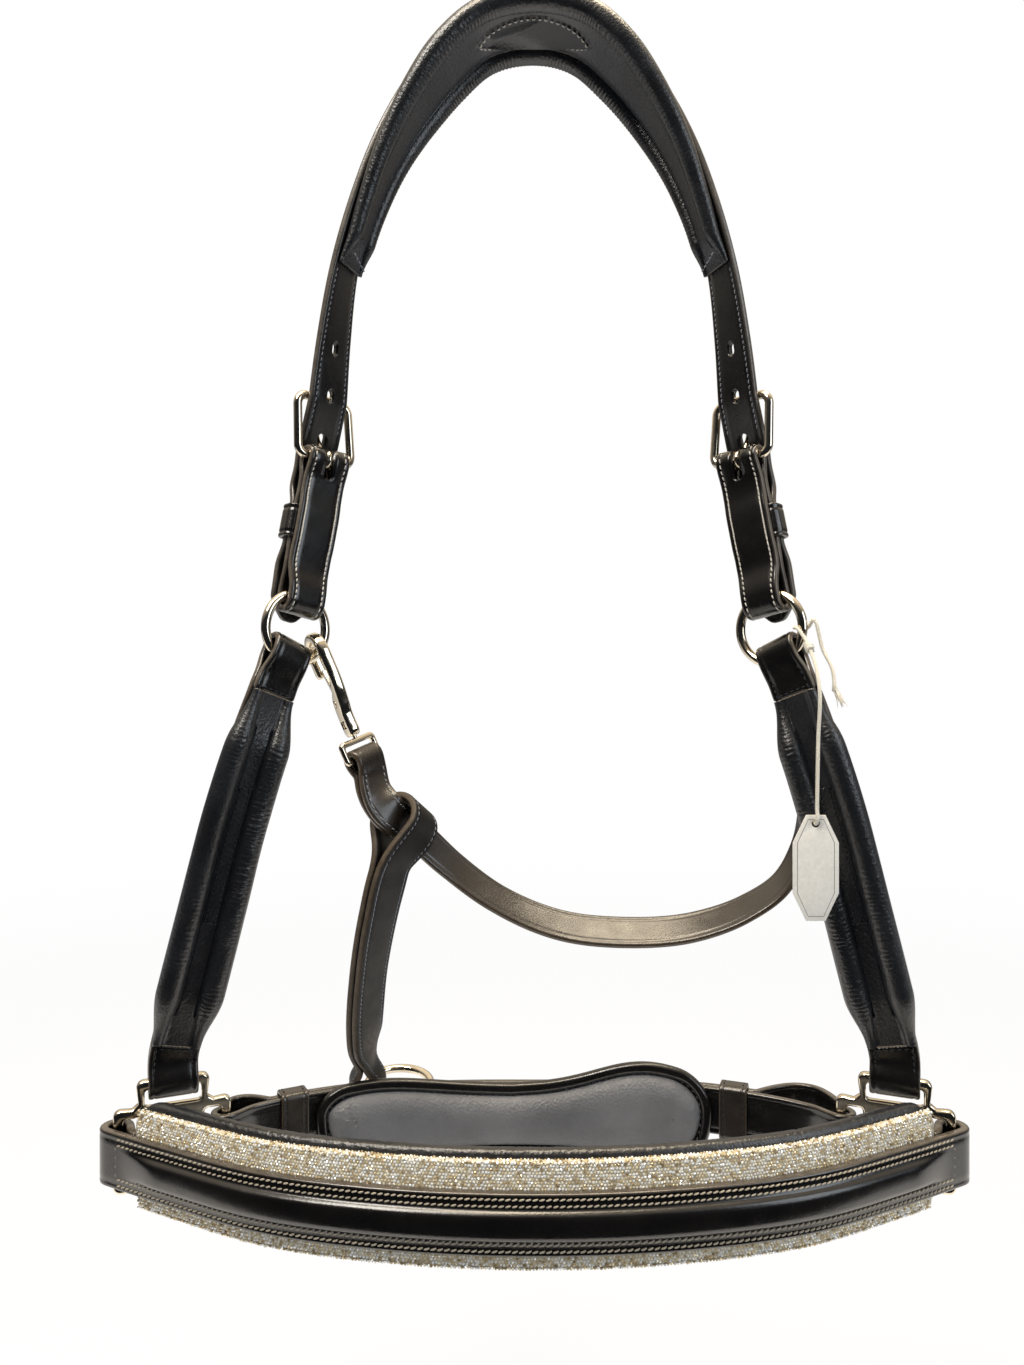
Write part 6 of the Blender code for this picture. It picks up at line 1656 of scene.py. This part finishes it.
def makeTag():
    stand = Matrix.Translation(Vector(tag["at"])) @ quarterTurn
    hole = circle(tag["hole"], 32, (0.0, -tag["holeDown"]))
    mesh = plateMesh([tagOutline(0.0), hole], tag["thick"], stand, 0.0001, 1)
    card = dress("tag_card", mesh, "card", "tag", 30)
    outlines = [tagOutline(tag["border"]), tagOutline(tag["border"] + tag["borderWide"])]
    for face, label in ((-1, "front"), (1, "back")):
        lift = Matrix.Translation(Vector((0.0, face * (tag["thick"] / 2 + 0.00001), 0.0)))
        place("tag_border_" + label, plateMesh(outlines, 0.00006, lift @ stand), "print", "tag", None, 30)
    return card


# Directions square to a path, carried from point to point so that they don't twist.
def carriedFrame(path):
    way = unit(np.gradient(path, axis=0))
    first = np.zeros_like(path)
    first[0] = unit(np.cross(way[0], [0.2, 1.0, 0.3]))
    for k in range(1, len(path)):
        carried = first[k - 1] - np.dot(first[k - 1], way[k]) * way[k]
        first[k] = carried / np.linalg.norm(carried)
    return way, first, np.cross(way, first)


# Three strands wound round a smooth path, each a tube of eight sides, that spread at the free end.
def makeString(card):
    route = np.array(string["route"])
    run = lengthAlong(route)
    dense = smoothThrough(route, run, np.linspace(0, run[-1], 1200))
    run = lengthAlong(dense)
    path = between(np.linspace(0, run[-1], int(run[-1] / 0.00028)), run, dense)[::-1].copy()
    way, first, second = carriedFrame(path)
    makeKnot(path, way, first, second)
    around = np.radians(np.arange(8) * 45)[None, :, None]
    total = lengthAlong(path)
    spread = 1.0 + 0.9 * smoothStep((total - total[-1] + 0.004) / 0.004)
    reach = ((string["radius"] - string["strand"]) * spread)[:, None]
    ring = np.cos(around) * first[:, None, :] + np.sin(around) * second[:, None, :]
    points, quads = [], []
    for strand in range(3):
        turn = 2 * math.pi * (total / string["twist"] + strand / 3)
        centre = path + reach * (np.cos(turn)[:, None] * first + np.sin(turn)[:, None] * second)
        quads.append(gridFaces(len(path), 8) + strand * 8 * len(path))
        points.append((centre[:, None, :] + string["strand"] * ring).reshape(-1, 3))
    mesh = rawMesh(np.concatenate(points).tolist(), np.concatenate(quads).tolist())
    piece = dress("tag_string", mesh, "cotton", "string")


# A small coil for the knot where both strands cross, and loose fibres at the cut end.
def makeKnot(path, way, first, second):
    k = int(np.argmin(np.linalg.norm(path - np.array(knot["at"]), axis=1)))
    turn = np.linspace(0, 2 * math.pi * knot["turns"], 70)
    coil = path[k] + np.outer((turn / turn[-1] - 0.5) * knot["long"], way[k])
    coil = coil + knot["radius"] * (np.outer(np.cos(turn), first[k]) + np.outer(np.sin(turn), second[k]))
    place("tag_string_knot", tubeMesh(coil, knot["wire"]), "cotton", "string")
    random = np.random.default_rng(tassel["seed"])
    count = tassel["count"]
    spread = random.normal(0, tassel["spread"], (count, 3)) + np.array(tassel["way"])
    starts = path[-1] + random.normal(0, 0.00030, (count, 3)) - way[-1] * 0.0010
    ends = starts + unit(spread) * random.uniform(*tassel["long"], count)[:, None]
    fibre = stitchMesh(starts, ends, np.tile([0.0, -1.0, 0.0], (count, 1)), 0.00016)
    place("tag_string_tassel", fibre, "cotton", "string")


makeString(makeTag())
print("tag made")
